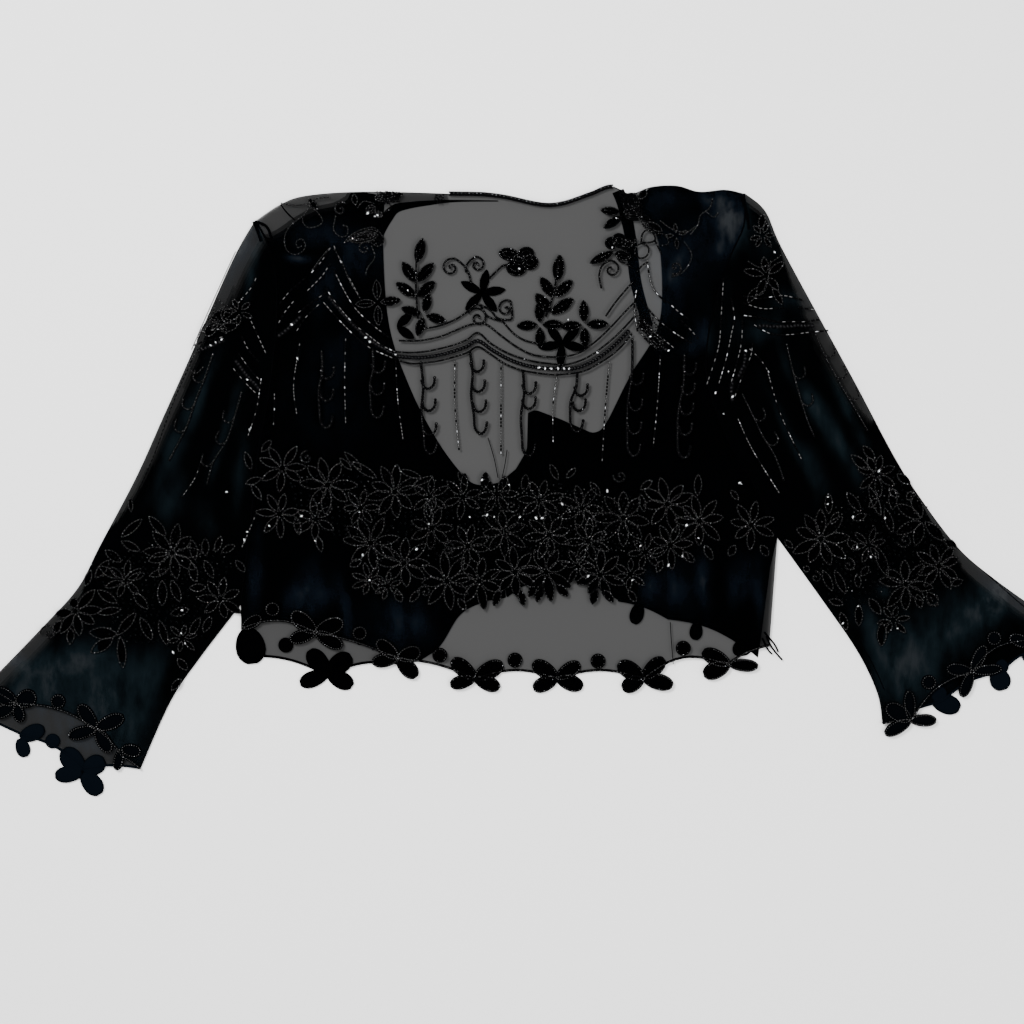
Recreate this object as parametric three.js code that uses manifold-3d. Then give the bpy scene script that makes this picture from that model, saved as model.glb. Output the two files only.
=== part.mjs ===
// A sheer net shrug with beaded embroidery, laid flat with its back upwards and its sleeves spread.
// Millimetres, +Z up. The origin is on the surface it lies on, below the middle of its outline.
// +Y runs from hem to neck and +X is the wearer's right. The two fronts lie under the back, and each
// sleeve is a flattened tube, open at its armhole and at its cuff.
import * as THREE from "three";
import { mergeVertices } from "three/addons/utils/BufferGeometryUtils.js";
import Module from "manifold-3d";

const wasm = await Module();
wasm.setup();

// Driving sizes
const clothThickness = 1.2;
const seamGap = 0.3; // between pieces that lie on one another
const sideGap = 0.7; // between pieces that lie side by side
const upperHeight = 3.0; // underside of the back and of the sleeves' upper layers
const seamHeight = clothThickness + seamGap; // underside of the back where it is sewn to a front
const leafThickness = 1.0;
const leafLift = 0.45; // from the upper cloth to the leaf trimming on it
const foldInset = 3.0; // depth of the wall at a sleeve's folded edge
const foldDrop = 0.4; // how far a sleeve's upper layer comes down at its folded edges
const bindingRadius = 1.5;

const backColumns = 30;
const backRows = 24;
const sleeveColumns = 9;
const sleeveRows = 20;
const stepsPerRow = 6; // points on a smooth line from one row of its table to the next

// Leaf trimming: four leaves like a butterfly at each group, joined by an arched cord with a dot on each arch
const leaf = {
  innerLength: 29,
  innerWidth: 15,
  outerLength: 27,
  outerWidth: 14,
  tilt: 0.64, // radians from the hem's direction
  overlap: 3, // the roots of a group cross by this much
  sides: 7,
};
const dot = { radius: 7.5, sides: 8 };
const cordHalfWidth = 1.3;
const archSteps = 5;

const table = (columns, rows) =>
  rows.map((row) => Object.fromEntries(columns.split(" ").map((name, i) => [name, row[i]])));

// Body: the two sides from the shoulder tips to where the sleeves part from them
const bodySides = table("place leftX leftY rightX rightY", [
  ["shoulder tip", -256, 267, 232, 294],
  ["shoulder seam", -242, 240, 231, 262],
  ["upper armhole", -235, 205, 216, 226],
  ["armhole", -236, 150, 198, 165],
  ["lower armhole", -243, 92, 195, 108],
  ["underarm", -253, 38, 218, 43],
  ["ribs", -261, -35, 245, -3],
  ["sleeve parts", -271, -117, 265, -50],
]);
const underarmRow = bodySides.findIndex((row) => row.place === "underarm");

// Upper edge of the back, over both shoulders and along the neck
const shoulderLine = table("place x y", [
  ["left shoulder tip", -256, 267],
  ["left sleeve head", -232, 283],
  ["left shoulder", -206, 292],
  ["left shoulder top", -150, 296],
  ["left neck", -62, 294],
  ["back neck", -12, 290],
  ["lowest neck", 38, 281],
  ["right neck", 78, 292],
  ["neck point", 100, 301],
  ["neck tuck", 118, 294],
  ["right shoulder", 140, 301],
  ["right shoulder top", 165, 302],
  ["shoulder dip", 187, 296],
  ["right sleeve head", 213, 298],
  ["right shoulder tip", 232, 294],
]);

// Hems as rows of leaf groups. rise is the height of the arch to the next row, leaves says which leaves
// the group has, and dots is 1 where a dot sits on the arch that follows.
const hemColumns = "place x y rise leaves dots";
const backHem = table(hemColumns, [
  ["left corner", -270, -140, 10, "right", 1],
  ["left side", -196, -144, 3, "both", 1],
  ["left middle", -114, -170, 4, "both", 1],
  ["centre left", -37, -190, 8, "both", 1],
  ["centre right", 45, -190, 8, "both", 1],
  ["right middle", 131, -190, 14, "both", 1],
  ["right side", 215, -176, 3, "both", 0],
  ["right corner", 257, -157, 0, "none", 0],
]);
const leftFrontHem = table(hemColumns, [
  ["side corner", -271, -168, 7, "right", 1],
  ["front", -184, -187, 6, "both", 1],
  ["inner", -114, -175, 2, "left", 0],
]);
const rightFrontHem = table(hemColumns, [
  ["inner", 106, -112, 3, "none", 0],
  ["front", 156, -130, 6, "both", 0],
  ["side corner", 232, -158, 0, "left", 0],
]);
const leftCuffUpper = table(hemColumns, [
  ["outer corner", -528, -200, 2, "none", 0],
  ["back of wrist", -495, -215, 7, "both", 1],
  ["middle", -415, -240, 2, "both", 0],
  ["inner wrist", -389, -268, 1, "right", 0],
  ["inner corner", -371, -280, 0, "none", 0],
]);
const leftCuffUnder = table(hemColumns, [
  ["outer corner", -528, -200, 0, "none", 0],
  ["outer drop", -520, -232, 0, "none", 0],
  ["palm", -490, -246, 5, "both", 1],
  ["middle", -427, -280, 3, "both", 0],
  ["inner corner", -371, -280, 0, "none", 0],
]);
const rightCuffUpper = table(hemColumns, [
  ["inner corner", 370, -235, 1, "none", 0],
  ["inner wrist", 399, -231, 9, "both", 1],
  ["middle", 459, -183, 9, "both", 1],
  ["back of wrist", 514, -152, 2, "left", 0],
  ["outer corner", 528, -124, 0, "none", 0],
]);
const rightCuffUnder = table(hemColumns, [
  ["inner corner", 370, -235, 2, "none", 0],
  ["inner wrist", 430, -213, 6, "both", 0],
  ["palm", 489, -184, 4, "both", 0],
  ["outer drop", 527, -160, 0, "none", 0],
  ["outer corner", 528, -124, 0, "none", 0],
]);

// Open edges of the fronts, from the neck down to the centre and the lower corners
const leftFrontEdge = table("place x y", [
  ["neck", -127, 292],
  ["collarbone", -129, 245],
  ["bust", -123, 163],
  ["under bust", -102, 100],
  ["ribs", -75, 48],
  ["under ribs", -49, 13],
  ["crossing", -33, 3],
  ["centre top", -10.3, 6],
]);
const leftFrontCutaway = table("place x y", [
  ["hem corner", -94, -174],
  ["round corner", -72, -158],
  ["rise", -52, -127],
  ["inner rise", -28, -114],
  ["centre hem", -6.3, -110],
]);
const rightFrontEdge = table("place x y", [
  ["neck", 128, 294],
  ["fold top", 129, 272],
  ["fold", 146, 248],
  ["bust", 150, 190],
  ["under bust", 143, 153],
  ["ribs", 118, 112],
  ["waist", 93, 63],
  ["flap", 80, 55],
]);
// The right front's edge turns up in a pointed flap before it meets the left front
const rightFrontFlap = table("place x y", [
  ["upper edge", 48, 69],
  ["blunt tip", 24, 78],
  ["tip", 16, 75],
  ["inner edge", 15, 38],
  ["inner turn", 4, 19],
  ["centre top", -9.6, 8],
]);
const rightFrontCutaway = table("place x y", [
  ["centre hem", -5.7, -110],
  ["inner rise", 18, -96],
  ["rise", 68, -93],
  ["turn", 106, -112],
]);

// Neck bands, as centre lines with half widths
const leftNeckBand = table("place x y halfWidth", [
  ["neck point", -14, 287, 1.5],
  ["neck", -57, 287, 2.5],
  ["front neck", -84, 283, 4.5],
  ["collarbone", -108, 276, 6],
  ["front edge", -123.5, 271, 6.5],
]);
const rightNeckBand = table("place x y halfWidth", [
  ["neck point", 106, 297, 6],
  ["neck", 112, 281, 6],
  ["collarbone", 119, 247, 5.5],
  ["bust", 124, 205, 5.5],
  ["front edge", 136, 162, 5],
]);

// Sleeves: outer folded edges, and inner edges from where they part from the body
const leftOuterEdge = table("place x y", [
  ["shoulder tip", -257, 267],
  ["sleeve head", -280, 226],
  ["upper arm", -323, 128],
  ["above elbow", -349, 70],
  ["elbow", -376, 10],
  ["below elbow", -412, -58],
  ["forearm", -434, -100],
  ["flare", -470, -140],
  ["cuff", -528, -200],
]);
const leftInnerEdge = table("place x y", [
  ["sleeve parts", -272, -118],
  ["forearm", -312, -170],
  ["wrist", -341, -213],
  ["cuff", -371, -280],
]);
const rightOuterEdge = table("place x y", [
  ["shoulder tip", 233, 294],
  ["sleeve head", 253, 277],
  ["shoulder", 268, 243],
  ["upper arm", 304, 176],
  ["above elbow", 344, 103],
  ["elbow", 381, 33],
  ["below elbow", 408, -10],
  ["forearm", 446, -60],
  ["flare", 482, -91],
  ["cuff", 528, -124],
]);
const rightInnerEdge = table("place x y", [
  ["sleeve parts", 266, -51],
  ["forearm", 310, -112],
  ["wrist", 345, -163],
  ["flare", 365, -205],
  ["cuff", 370, -235],
]);

// Largest folds of the upper cloth: soft ridges from one end to the other
const folds = table("place x1 y1 x2 y2 halfWidth height", [
  ["left sleeve head", -252, 262, -236, 214, 13, 6],
  ["left shoulder", -212, 276, -176, 214, 17, 4],
  ["left armhole", -238, 190, -252, 60, 14, 5],
  ["left side", -232, -40, -190, -108, 14, 4],
  ["left side front", -166, -50, -162, -112, 14, 4],
  ["left waist", -112, -70, -116, -128, 15, 3],
  ["right sleeve head", 214, 296, 226, 232, 13, 7],
  ["right shoulder", 188, 290, 180, 226, 15, 5],
  ["right neck", 146, 296, 154, 248, 15, 4],
  ["right yoke", 146, 196, 214, 216, 15, 4],
  ["right waist", 142, -52, 148, -104, 13, 4],
  ["right side front", 186, -48, 190, -112, 13, 5],
  ["right side", 232, -64, 228, -116, 12, 3],
  ["left upper arm", -284, 196, -314, 60, 15, 5],
  ["left elbow, inner", -270, 108, -290, -84, 14, 6],
  ["left elbow, middle", -304, 52, -330, -84, 14, 4],
  ["left elbow, outer", -338, 34, -366, -70, 14, 3],
  ["left cuff, middle", -446, -138, -420, -190, 17, 6],
  ["left cuff, inner", -388, -168, -372, -226, 16, 6],
  ["right upper arm", 262, 160, 336, 0, 15, 6],
  ["right upper arm, inner", 242, 120, 300, -40, 13, 5],
  ["right upper arm, outer", 306, 140, 372, 20, 15, 4],
  ["right cuff, inner", 366, -122, 392, -178, 16, 5],
  ["right cuff, middle", 420, -98, 444, -142, 17, 6],
  ["right cuff, outer", 466, -98, 488, -124, 15, 4],
]);

// Where nothing lies under the back it sinks towards the surface
const hollows = table("place x y radiusX radiusY depth", [
  ["neck opening", -7, 188, 100, 85, 2.4],
  ["lower opening", 48, -182, 105, 46, 2.4],
]);

const colours = { net: 0x10141c, underNet: 0x0d1017, leaf: 0x07080b, binding: 0x050506 };

// Lines. A line is an array of 2-D points, and at() finds the point at a share of its length.
const point = (row) => new THREE.Vector2(row.x, row.y);
const smooth = (points) => new THREE.SplineCurve(points).getPoints((points.length - 1) * stepsPerRow);
const smoothRows = (rows) => smooth(rows.map(point));
const join = (...lines) =>
  lines.flat().filter((p, i, all) => i === 0 || p.distanceTo(all[i - 1]) > 1e-3);
const shifted = (line, dx) => line.map((p) => new THREE.Vector2(p.x + dx, p.y));

function measured(line) {
  const lengths = [0];
  for (let i = 1; i < line.length; i++) lengths.push(lengths[i - 1] + line[i].distanceTo(line[i - 1]));
  const whole = lengths.at(-1);
  return (share) => {
    const wanted = share * whole;
    const next = Math.max(1, lengths.findIndex((length) => length >= wanted - 1e-9));
    const part = (wanted - lengths[next - 1]) / (lengths[next] - lengths[next - 1]);
    return line[next - 1].clone().lerp(line[next], part);
  };
}

// The corners that a line has when a patch divides it evenly
function evenly(line, parts) {
  const at = measured(line);
  return Array.from({ length: parts + 1 }, (_, i) => at(i / parts));
}

// A hem's edge: an arch from each leaf group to the next, rising towards the cloth
function hemLine(rows) {
  const line = [point(rows[0])];
  for (let i = 1; i < rows.length; i++) {
    const from = point(rows[i - 1]);
    const to = point(rows[i]);
    const inward = to.clone().sub(from).normalize().rotateAround(new THREE.Vector2(), Math.PI / 2);
    for (let k = 1; k <= archSteps; k++) {
      const share = k / archSteps;
      const rise = rows[i - 1].rise * Math.sin(Math.PI * share);
      line.push(from.clone().lerp(to, share).addScaledVector(inward, rise));
    }
  }
  return line;
}

// Heights of the upper cloth's underside
function foldHeight(x, y) {
  let height = 0;
  for (const fold of folds) {
    const alongX = fold.x2 - fold.x1;
    const alongY = fold.y2 - fold.y1;
    const share = ((x - fold.x1) * alongX + (y - fold.y1) * alongY) / (alongX ** 2 + alongY ** 2);
    if (share <= 0 || share >= 1) continue;
    const away = Math.hypot(x - fold.x1 - share * alongX, y - fold.y1 - share * alongY);
    height += fold.height * Math.sin(Math.PI * share) ** 2 * Math.exp(-((away / fold.halfWidth) ** 2));
  }
  return height;
}

function upperUnderside(x, y) {
  let height = upperHeight + foldHeight(x, y);
  for (const hollow of hollows) {
    const r2 = ((x - hollow.x) / hollow.radiusX) ** 2 + ((y - hollow.y) / hollow.radiusY) ** 2;
    if (r2 < 1) height -= hollow.depth * (1 - r2) ** 2 * (1 + 2 * r2);
  }
  return height;
}

// A patch of cloth between four edges: left and right run down, top and bottom run from left to right
function patch({ top, bottom, left, right }) {
  const edges = { top: measured(top), bottom: measured(bottom), left: measured(left), right: measured(right) };
  return (s, t) => {
    const across = edges.top(s).multiplyScalar(1 - t).addScaledVector(edges.bottom(s), t);
    const down = edges.left(t).multiplyScalar(1 - s).addScaledVector(edges.right(t), s);
    const corners = edges.top(0).multiplyScalar((1 - s) * (1 - t))
      .addScaledVector(edges.top(1), s * (1 - t))
      .addScaledVector(edges.bottom(0), (1 - s) * t)
      .addScaledVector(edges.bottom(1), s * t);
    return across.add(down).sub(corners);
  };
}

// Solids
function closedGeometry(positions, triangles) {
  const geometry = new THREE.BufferGeometry();
  geometry.setAttribute("position", new THREE.Float32BufferAttribute(positions, 3));
  geometry.setIndex(triangles);
  return geometry;
}

// A wall over a patch: an upper and a lower skin on one grid, closed round its edge
function clothSheet(place, columns, rows, underside) {
  const positions = [];
  const triangles = [];
  const stride = columns + 1;
  const skin = stride * (rows + 1);
  for (const lift of [clothThickness, 0]) {
    for (let i = 0; i <= rows; i++) {
      for (let j = 0; j <= columns; j++) {
        const p = place(j / columns, i / rows);
        positions.push(p.x, p.y, underside(p.x, p.y, j, i) + lift);
      }
    }
  }
  const quad = (a, b, c, d) => triangles.push(a, b, c, a, c, d);
  for (let i = 0; i < rows; i++) {
    for (let j = 0; j < columns; j++) {
      const a = i * stride + j;
      quad(a, a + stride, a + stride + 1, a + 1);
      quad(skin + a, skin + a + 1, skin + a + stride + 1, skin + a + stride);
    }
  }
  const rim = [];
  for (let j = 0; j < columns; j++) rim.push(j);
  for (let i = 0; i < rows; i++) rim.push(i * stride + columns);
  for (let j = columns; j > 0; j--) rim.push(rows * stride + j);
  for (let i = rows; i > 0; i--) rim.push(i * stride);
  rim.forEach((a, k) => {
    const b = rim[(k + 1) % rim.length];
    quad(a, b, skin + b, skin + a);
  });
  return closedGeometry(positions, triangles);
}

// A flattened tube of cloth: rings of an outer and an inner skin, joined at both open ends.
// Each ring runs over the upper layer from left to right and back along the lower one.
function clothTube(placeUpper, placeUnder, columns, rows) {
  const positions = [];
  const triangles = [];
  const ring = 2 * (columns + 1);
  const skin = ring * (rows + 1);
  const place = (upper, j, i) => (upper ? placeUpper : placeUnder)(j / columns, i / rows);
  const insetPlace = (upper, j, i) => {
    const p = place(upper, j, i);
    if (j !== 0 && j !== columns) return p;
    const towards = place(upper, j === 0 ? 1 : columns - 1, i).sub(p);
    return p.addScaledVector(towards.normalize(), foldInset);
  };
  for (const outer of [true, false]) {
    for (let i = 0; i <= rows; i++) {
      for (let k = 0; k < ring; k++) {
        const upper = k <= columns;
        const j = upper ? k : ring - 1 - k;
        const atFold = j === 0 || j === columns;
        const p = (outer ? place : insetPlace)(upper, j, i);
        const upperZ = atFold ? upperHeight - foldDrop / 2 : upperUnderside(p.x, p.y);
        const thickness = atFold ? clothThickness - foldDrop / 2 : clothThickness;
        const z = upper ? upperZ + (outer ? thickness : 0) : outer ? 0 : clothThickness;
        positions.push(p.x, p.y, z);
      }
    }
  }
  const quad = (a, b, c, d) => triangles.push(a, b, c, a, c, d);
  for (let k = 0; k < ring; k++) {
    const next = (k + 1) % ring;
    for (let i = 0; i < rows; i++) {
      const a = i * ring + k;
      const b = i * ring + next;
      quad(a, a + ring, b + ring, b);
      quad(skin + a, skin + b, skin + b + ring, skin + a + ring);
    }
    const last = rows * ring;
    quad(k, next, skin + next, skin + k);
    quad(last + k, skin + last + k, skin + last + next, last + next);
  }
  return closedGeometry(positions, triangles);
}

function plate(outline, thickness) {
  return new THREE.ExtrudeGeometry(new THREE.Shape(outline), { depth: thickness, bevelEnabled: false });
}

// A strip of changing width along a line
function strip(centres, halfWidths, thickness) {
  const sides = [[], []];
  centres.forEach((p, i) => {
    const before = centres[Math.max(0, i - 1)];
    const after = centres[Math.min(centres.length - 1, i + 1)];
    const normal = after.clone().sub(before).normalize().rotateAround(new THREE.Vector2(), Math.PI / 2);
    sides[0].push(p.clone().addScaledVector(normal, halfWidths[i]));
    sides[1].push(p.clone().addScaledVector(normal, -halfWidths[i]));
  });
  return plate([...sides[0], ...sides[1].reverse()], thickness);
}

function neckBand(rows) {
  const centres = smoothRows(rows);
  const halfWidths = smooth(rows.map((row, i) => new THREE.Vector2(i, row.halfWidth))).map((p) => p.y);
  return strip(centres, halfWidths, clothThickness);
}

// A leaf: pointed at its root and round at its tip
function leafOutline(root, direction, length, width) {
  const across = direction.clone().rotateAround(new THREE.Vector2(), Math.PI / 2);
  const outline = [];
  for (let k = 0; k < leaf.sides; k++) {
    const turn = (2 * Math.PI * k) / leaf.sides;
    const along = (length * (1 - Math.cos(turn))) / 2;
    const wide = (width / 2) * Math.sin(turn) * (0.6 + (0.5 * along) / length);
    outline.push(root.clone().addScaledVector(direction, along).addScaledVector(across, wide));
  }
  return outline;
}

function solidOf(geometry) {
  geometry.deleteAttribute("normal");
  geometry.deleteAttribute("uv");
  const merged = mergeVertices(geometry, 1e-4);
  return new wasm.Manifold(
    new wasm.Mesh({
      numProp: 3,
      vertProperties: merged.attributes.position.array,
      triVerts: new Uint32Array(merged.index.array),
    }),
  );
}

// The leaf trimming of a hem, joined to one body and laid on the cloth at the height that lift gives
function leafTrim(rows, lift, tip) {
  const line = hemLine(rows);
  const pieces = [strip(line, line.map(() => cordHalfWidth), leafThickness)];
  rows.forEach((row, i) => {
    const centre = point(row);
    const before = point(rows[Math.max(0, i - 1)]);
    const after = point(rows[Math.min(rows.length - 1, i + 1)]);
    const tangent = after.clone().sub(before).normalize();
    for (const side of ["left", "right"]) {
      if (row.leaves !== "both" && row.leaves !== side) continue;
      const turn = side === "right" ? 1 : -1;
      const forward = tangent.clone().multiplyScalar(turn);
      const root = centre.clone().addScaledVector(forward, -leaf.overlap);
      const inner = forward.clone().rotateAround(new THREE.Vector2(), turn * leaf.tilt);
      const outer = forward.clone().rotateAround(new THREE.Vector2(), -turn * leaf.tilt);
      pieces.push(plate(leafOutline(root, inner, leaf.innerLength, leaf.innerWidth), leafThickness));
      pieces.push(plate(leafOutline(root, outer, leaf.outerLength, leaf.outerWidth), leafThickness));
    }
    if (row.dots) {
      const along = after.clone().sub(centre);
      const inward = along.clone().normalize().rotateAround(new THREE.Vector2(), Math.PI / 2);
      const middle = centre.clone().addScaledVector(along, 0.5);
      middle.addScaledVector(inward, row.rise + dot.radius - cordHalfWidth);
      const disc = new THREE.CylinderGeometry(dot.radius, dot.radius, leafThickness, dot.sides);
      disc.rotateX(Math.PI / 2).translate(middle.x, middle.y, leafThickness / 2);
      pieces.push(disc);
    }
  });
  if (tip) pieces.push(plate(leafOutline(tip.root, tip.direction, tip.length, tip.width), leafThickness));
  const joined = pieces.map(solidOf).reduce((whole, piece) => whole.add(piece)).asOriginal().getMesh();
  const positions = [];
  for (let i = 0; i < joined.numVert; i++) {
    const [x, y, z] = joined.vertProperties.subarray(i * joined.numProp, i * joined.numProp + 3);
    positions.push(x, y, z + lift(x, y));
  }
  return closedGeometry(positions, [...joined.triVerts]);
}

// Pieces
const garment = new THREE.Group();

function addPiece(name, geometry, colour, roughness = 0.8) {
  const mesh = new THREE.Mesh(
    geometry,
    new THREE.MeshStandardMaterial({ color: colour, roughness, metalness: 0 }),
  );
  mesh.name = name;
  garment.add(mesh);
}

const leftSide = smooth(bodySides.map((row) => new THREE.Vector2(row.leftX, row.leftY)));
const rightSide = smooth(bodySides.map((row) => new THREE.Vector2(row.rightX, row.rightY)));
const underarm = underarmRow * stepsPerRow;
const seamPoints = (side, innerEdge) => {
  const armhole = evenly(side.slice(0, underarm + 1), sleeveColumns);
  const inner = evenly(join(side.slice(underarm), smoothRows(innerEdge)), sleeveRows);
  return join(armhole, inner.filter((p) => p.y > side.at(-1).y));
};
const topEdge = smoothRows(shoulderLine);
const leftShoulder = smoothRows(shoulderLine.slice(0, 4));
const rightShoulder = smoothRows(shoulderLine.slice(-5));
const frontSideInset = 7; // the right front's side lies this far inside the back's

function buildBack() {
  const place = patch({
    top: topEdge,
    bottom: hemLine(backHem),
    left: join(leftSide, [point(backHem[0])]),
    right: join(rightSide, [point(backHem.at(-1))]),
  });
  const sewnFrom = { left: leftSide[underarm].y, right: rightSide[underarm].y };
  const underside = (x, y, j, i) => {
    const sewnLeft = j === 0 && y < sewnFrom.left;
    const sewnRight = j === backColumns && y < sewnFrom.right;
    return i === 0 || sewnLeft || sewnRight ? seamHeight : upperUnderside(x, y);
  };
  addPiece("back", clothSheet(place, backColumns, backRows, underside), colours.net);
}

function buildFronts() {
  const leftOutline = join(
    leftShoulder,
    smoothRows(leftFrontEdge),
    smoothRows(leftFrontCutaway).reverse(),
    hemLine(leftFrontHem).reverse(),
    seamPoints(leftSide, leftInnerEdge).reverse(),
  );
  addPiece("front_left", plate(leftOutline.slice(0, -1), clothThickness), colours.underNet);
  const lowerRight = [
    new THREE.Vector2(rightSide.at(-1).x - frontSideInset, rightSide.at(-1).y - 30),
    new THREE.Vector2(rightFrontHem.at(-1).x + 14, rightFrontHem.at(-1).y - 12),
  ];
  const rightOutline = join(
    rightShoulder,
    seamPoints(rightSide, rightInnerEdge),
    lowerRight,
    hemLine(rightFrontHem).reverse(),
    smoothRows(rightFrontCutaway).reverse(),
    rightFrontFlap.map(point).reverse(),
    smoothRows(rightFrontEdge).reverse(),
  );
  addPiece("front_right", plate(rightOutline, clothThickness), colours.underNet);
  addPiece("neck_band_left", neckBand(leftNeckBand), colours.underNet);
  addPiece("neck_band_right", neckBand(rightNeckBand), colours.underNet);
}

function buildSleeves() {
  const leftEdges = {
    top: shifted(leftSide.slice(0, underarm + 1), -sideGap),
    left: smoothRows(leftOuterEdge),
    right: join(shifted(leftSide.slice(underarm), -sideGap), smoothRows(leftInnerEdge)),
  };
  const rightEdges = {
    top: shifted(rightSide.slice(0, underarm + 1), sideGap).reverse(),
    left: join(shifted(rightSide.slice(underarm), sideGap), smoothRows(rightInnerEdge)),
    right: smoothRows(rightOuterEdge),
  };
  const sleeves = [
    ["sleeve_left", leftEdges, leftCuffUpper, leftCuffUnder],
    ["sleeve_right", rightEdges, rightCuffUpper, rightCuffUnder],
  ];
  for (const [name, edges, upperHem, underHem] of sleeves) {
    const upper = patch({ ...edges, bottom: hemLine(upperHem) });
    const under = patch({ ...edges, bottom: hemLine(underHem) });
    addPiece(name, clothTube(upper, under, sleeveColumns, sleeveRows), colours.net);
  }
}

function buildTrims() {
  const onUpper = (x, y) => upperUnderside(x, y) + clothThickness + leafLift;
  const onUnder = () => seamHeight;
  const tipDirection = new THREE.Vector2(14, -12).normalize();
  const strayTip = {
    root: point(backHem.at(-1)).addScaledVector(tipDirection, -leaf.overlap),
    direction: tipDirection,
    length: 20,
    width: 6,
  };
  addPiece("trim_back_hem", leafTrim(backHem, onUpper, strayTip), colours.leaf);
  addPiece("trim_front_left", leafTrim(leftFrontHem, onUnder), colours.leaf);
  addPiece("trim_front_right", leafTrim(rightFrontHem, onUnder), colours.leaf);
  const cuffTrims = [
    ["trim_cuff_left_upper", leftCuffUpper, onUpper],
    ["trim_cuff_left_under", leftCuffUnder, onUnder],
    ["trim_cuff_right_upper", rightCuffUpper, onUpper],
    ["trim_cuff_right_under", rightCuffUnder, onUnder],
  ];
  for (const [name, rows, lift] of cuffTrims) {
    const kept = rows.filter((row) => !row.place.endsWith("corner"));
    addPiece(name, leafTrim(kept, lift), colours.leaf);
  }
}

// Beaded binding: a round cord just outside the back's neck edge
function buildNeckBinding() {
  const first = shoulderLine.findIndex((row) => row.place === "left neck") * stepsPerRow;
  const last = shoulderLine.findIndex((row) => row.place === "neck point") * stepsPerRow;
  const offset = bindingRadius + sideGap;
  const path = topEdge
    .slice(first, last + 1)
    .filter((_, i) => i % 3 === 0)
    .map((p) => new THREE.Vector3(p.x, p.y + offset, seamHeight + clothThickness / 2));
  const section = new THREE.Shape().absarc(0, 0, bindingRadius, 0, 2 * Math.PI);
  const geometry = new THREE.ExtrudeGeometry(section, {
    steps: path.length * 2,
    curveSegments: 4,
    extrudePath: new THREE.CatmullRomCurve3(path),
    bevelEnabled: false,
  });
  addPiece("neck_binding", geometry, colours.binding, 0.4);
}

buildBack();
buildFronts();
buildSleeves();
buildTrims();
buildNeckBinding();

export default garment;
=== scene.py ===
# A sheer black net shrug with beaded embroidery, laid flat with its back up and its sleeves spread.
# Sizes are millimetres until makePiece turns them into metres.
import math

import bpy
import numpy as np
from mathutils.geometry import delaunay_2d_cdt
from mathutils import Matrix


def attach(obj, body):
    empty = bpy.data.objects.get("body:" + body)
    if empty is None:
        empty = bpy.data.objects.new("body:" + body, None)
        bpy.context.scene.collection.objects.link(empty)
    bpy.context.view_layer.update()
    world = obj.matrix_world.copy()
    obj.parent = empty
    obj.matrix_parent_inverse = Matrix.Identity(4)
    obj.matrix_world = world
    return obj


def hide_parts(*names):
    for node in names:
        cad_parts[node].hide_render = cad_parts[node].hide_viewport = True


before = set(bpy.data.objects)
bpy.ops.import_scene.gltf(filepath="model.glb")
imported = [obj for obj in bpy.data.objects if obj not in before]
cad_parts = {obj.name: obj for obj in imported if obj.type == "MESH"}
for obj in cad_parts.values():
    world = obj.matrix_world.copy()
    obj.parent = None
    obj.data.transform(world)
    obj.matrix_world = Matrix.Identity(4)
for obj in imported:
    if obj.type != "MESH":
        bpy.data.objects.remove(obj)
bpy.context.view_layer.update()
rng = np.random.default_rng(11)

# The embroidery is drawn on a plan, with x to the right and y down from this corner, which lies to the
# left of and above the middle
planCorner = np.array([-512.0, 488.0])


def fromPlan(points):
    p = np.asarray(points, float)
    return np.stack([p[..., 0] + planCorner[0], planCorner[1] - p[..., 1]], axis=-1)


# Catmull-Rom curve through the points: between two of them it leaves and arrives along half the
# vector that joins their neighbours
def smoothLine(points, steps=6):
    p = np.asarray(points, float)
    before = np.concatenate([p[:1], p[:-2]])
    after = np.concatenate([p[2:], p[-1:]])
    start, end = p[:-1], p[1:]
    leave, arrive = (end - before) / 2, (after - start) / 2
    t = (np.arange(steps) / steps)[None, :, None]
    a, b, v, w = (q[:, None, :] for q in (start, end, leave, arrive))
    curve = (2 * a - 2 * b + v + w) * t**3 + (3 * b - 3 * a - 2 * v - w) * t**2 + v * t + a
    return np.concatenate([curve.reshape(-1, p.shape[1]), p[-1:]])


def unit(vectors):
    return vectors / np.maximum(np.linalg.norm(vectors, axis=1, keepdims=True), 1e-9)


def leftOf(vectors):
    return np.stack([-vectors[..., 1], vectors[..., 0]], axis=-1)


def lengthsAlong(line):
    return np.concatenate([[0], np.cumsum(np.linalg.norm(np.diff(line, axis=0), axis=1))])


def atShares(line, shares):
    along = lengthsAlong(line)
    wanted = np.asarray(shares) * along[-1]
    return np.stack([np.interp(wanted, along, line[:, k]) for k in range(line.shape[1])], axis=-1)


# Even steps of about the pitch along a line, and the unit direction of the line at each
def stepsAlong(line, pitch, closed=False):
    line = np.asarray(line, float)
    count = max(2, int(round(lengthsAlong(line)[-1] / pitch)))
    shares = np.arange(count) / count if closed else np.linspace(0, 1, count)
    nudge = 0.5 / count
    ahead = atShares(line, np.clip(shares + nudge, 0, 1)) - atShares(line, np.clip(shares - nudge, 0, 1))
    return atShares(line, shares), unit(ahead)


# Arrays side by side as columns, with single values repeated all the way down
def columnsOf(first, *others):
    return np.column_stack([first, *(np.full(len(first), v) if np.ndim(v) == 0 else v for v in others)])


def joinLines(*lines):
    points = np.concatenate(lines)
    keep = np.concatenate([[True], np.linalg.norm(np.diff(points, axis=0), axis=1) > 1e-3])
    return points[keep]


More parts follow.
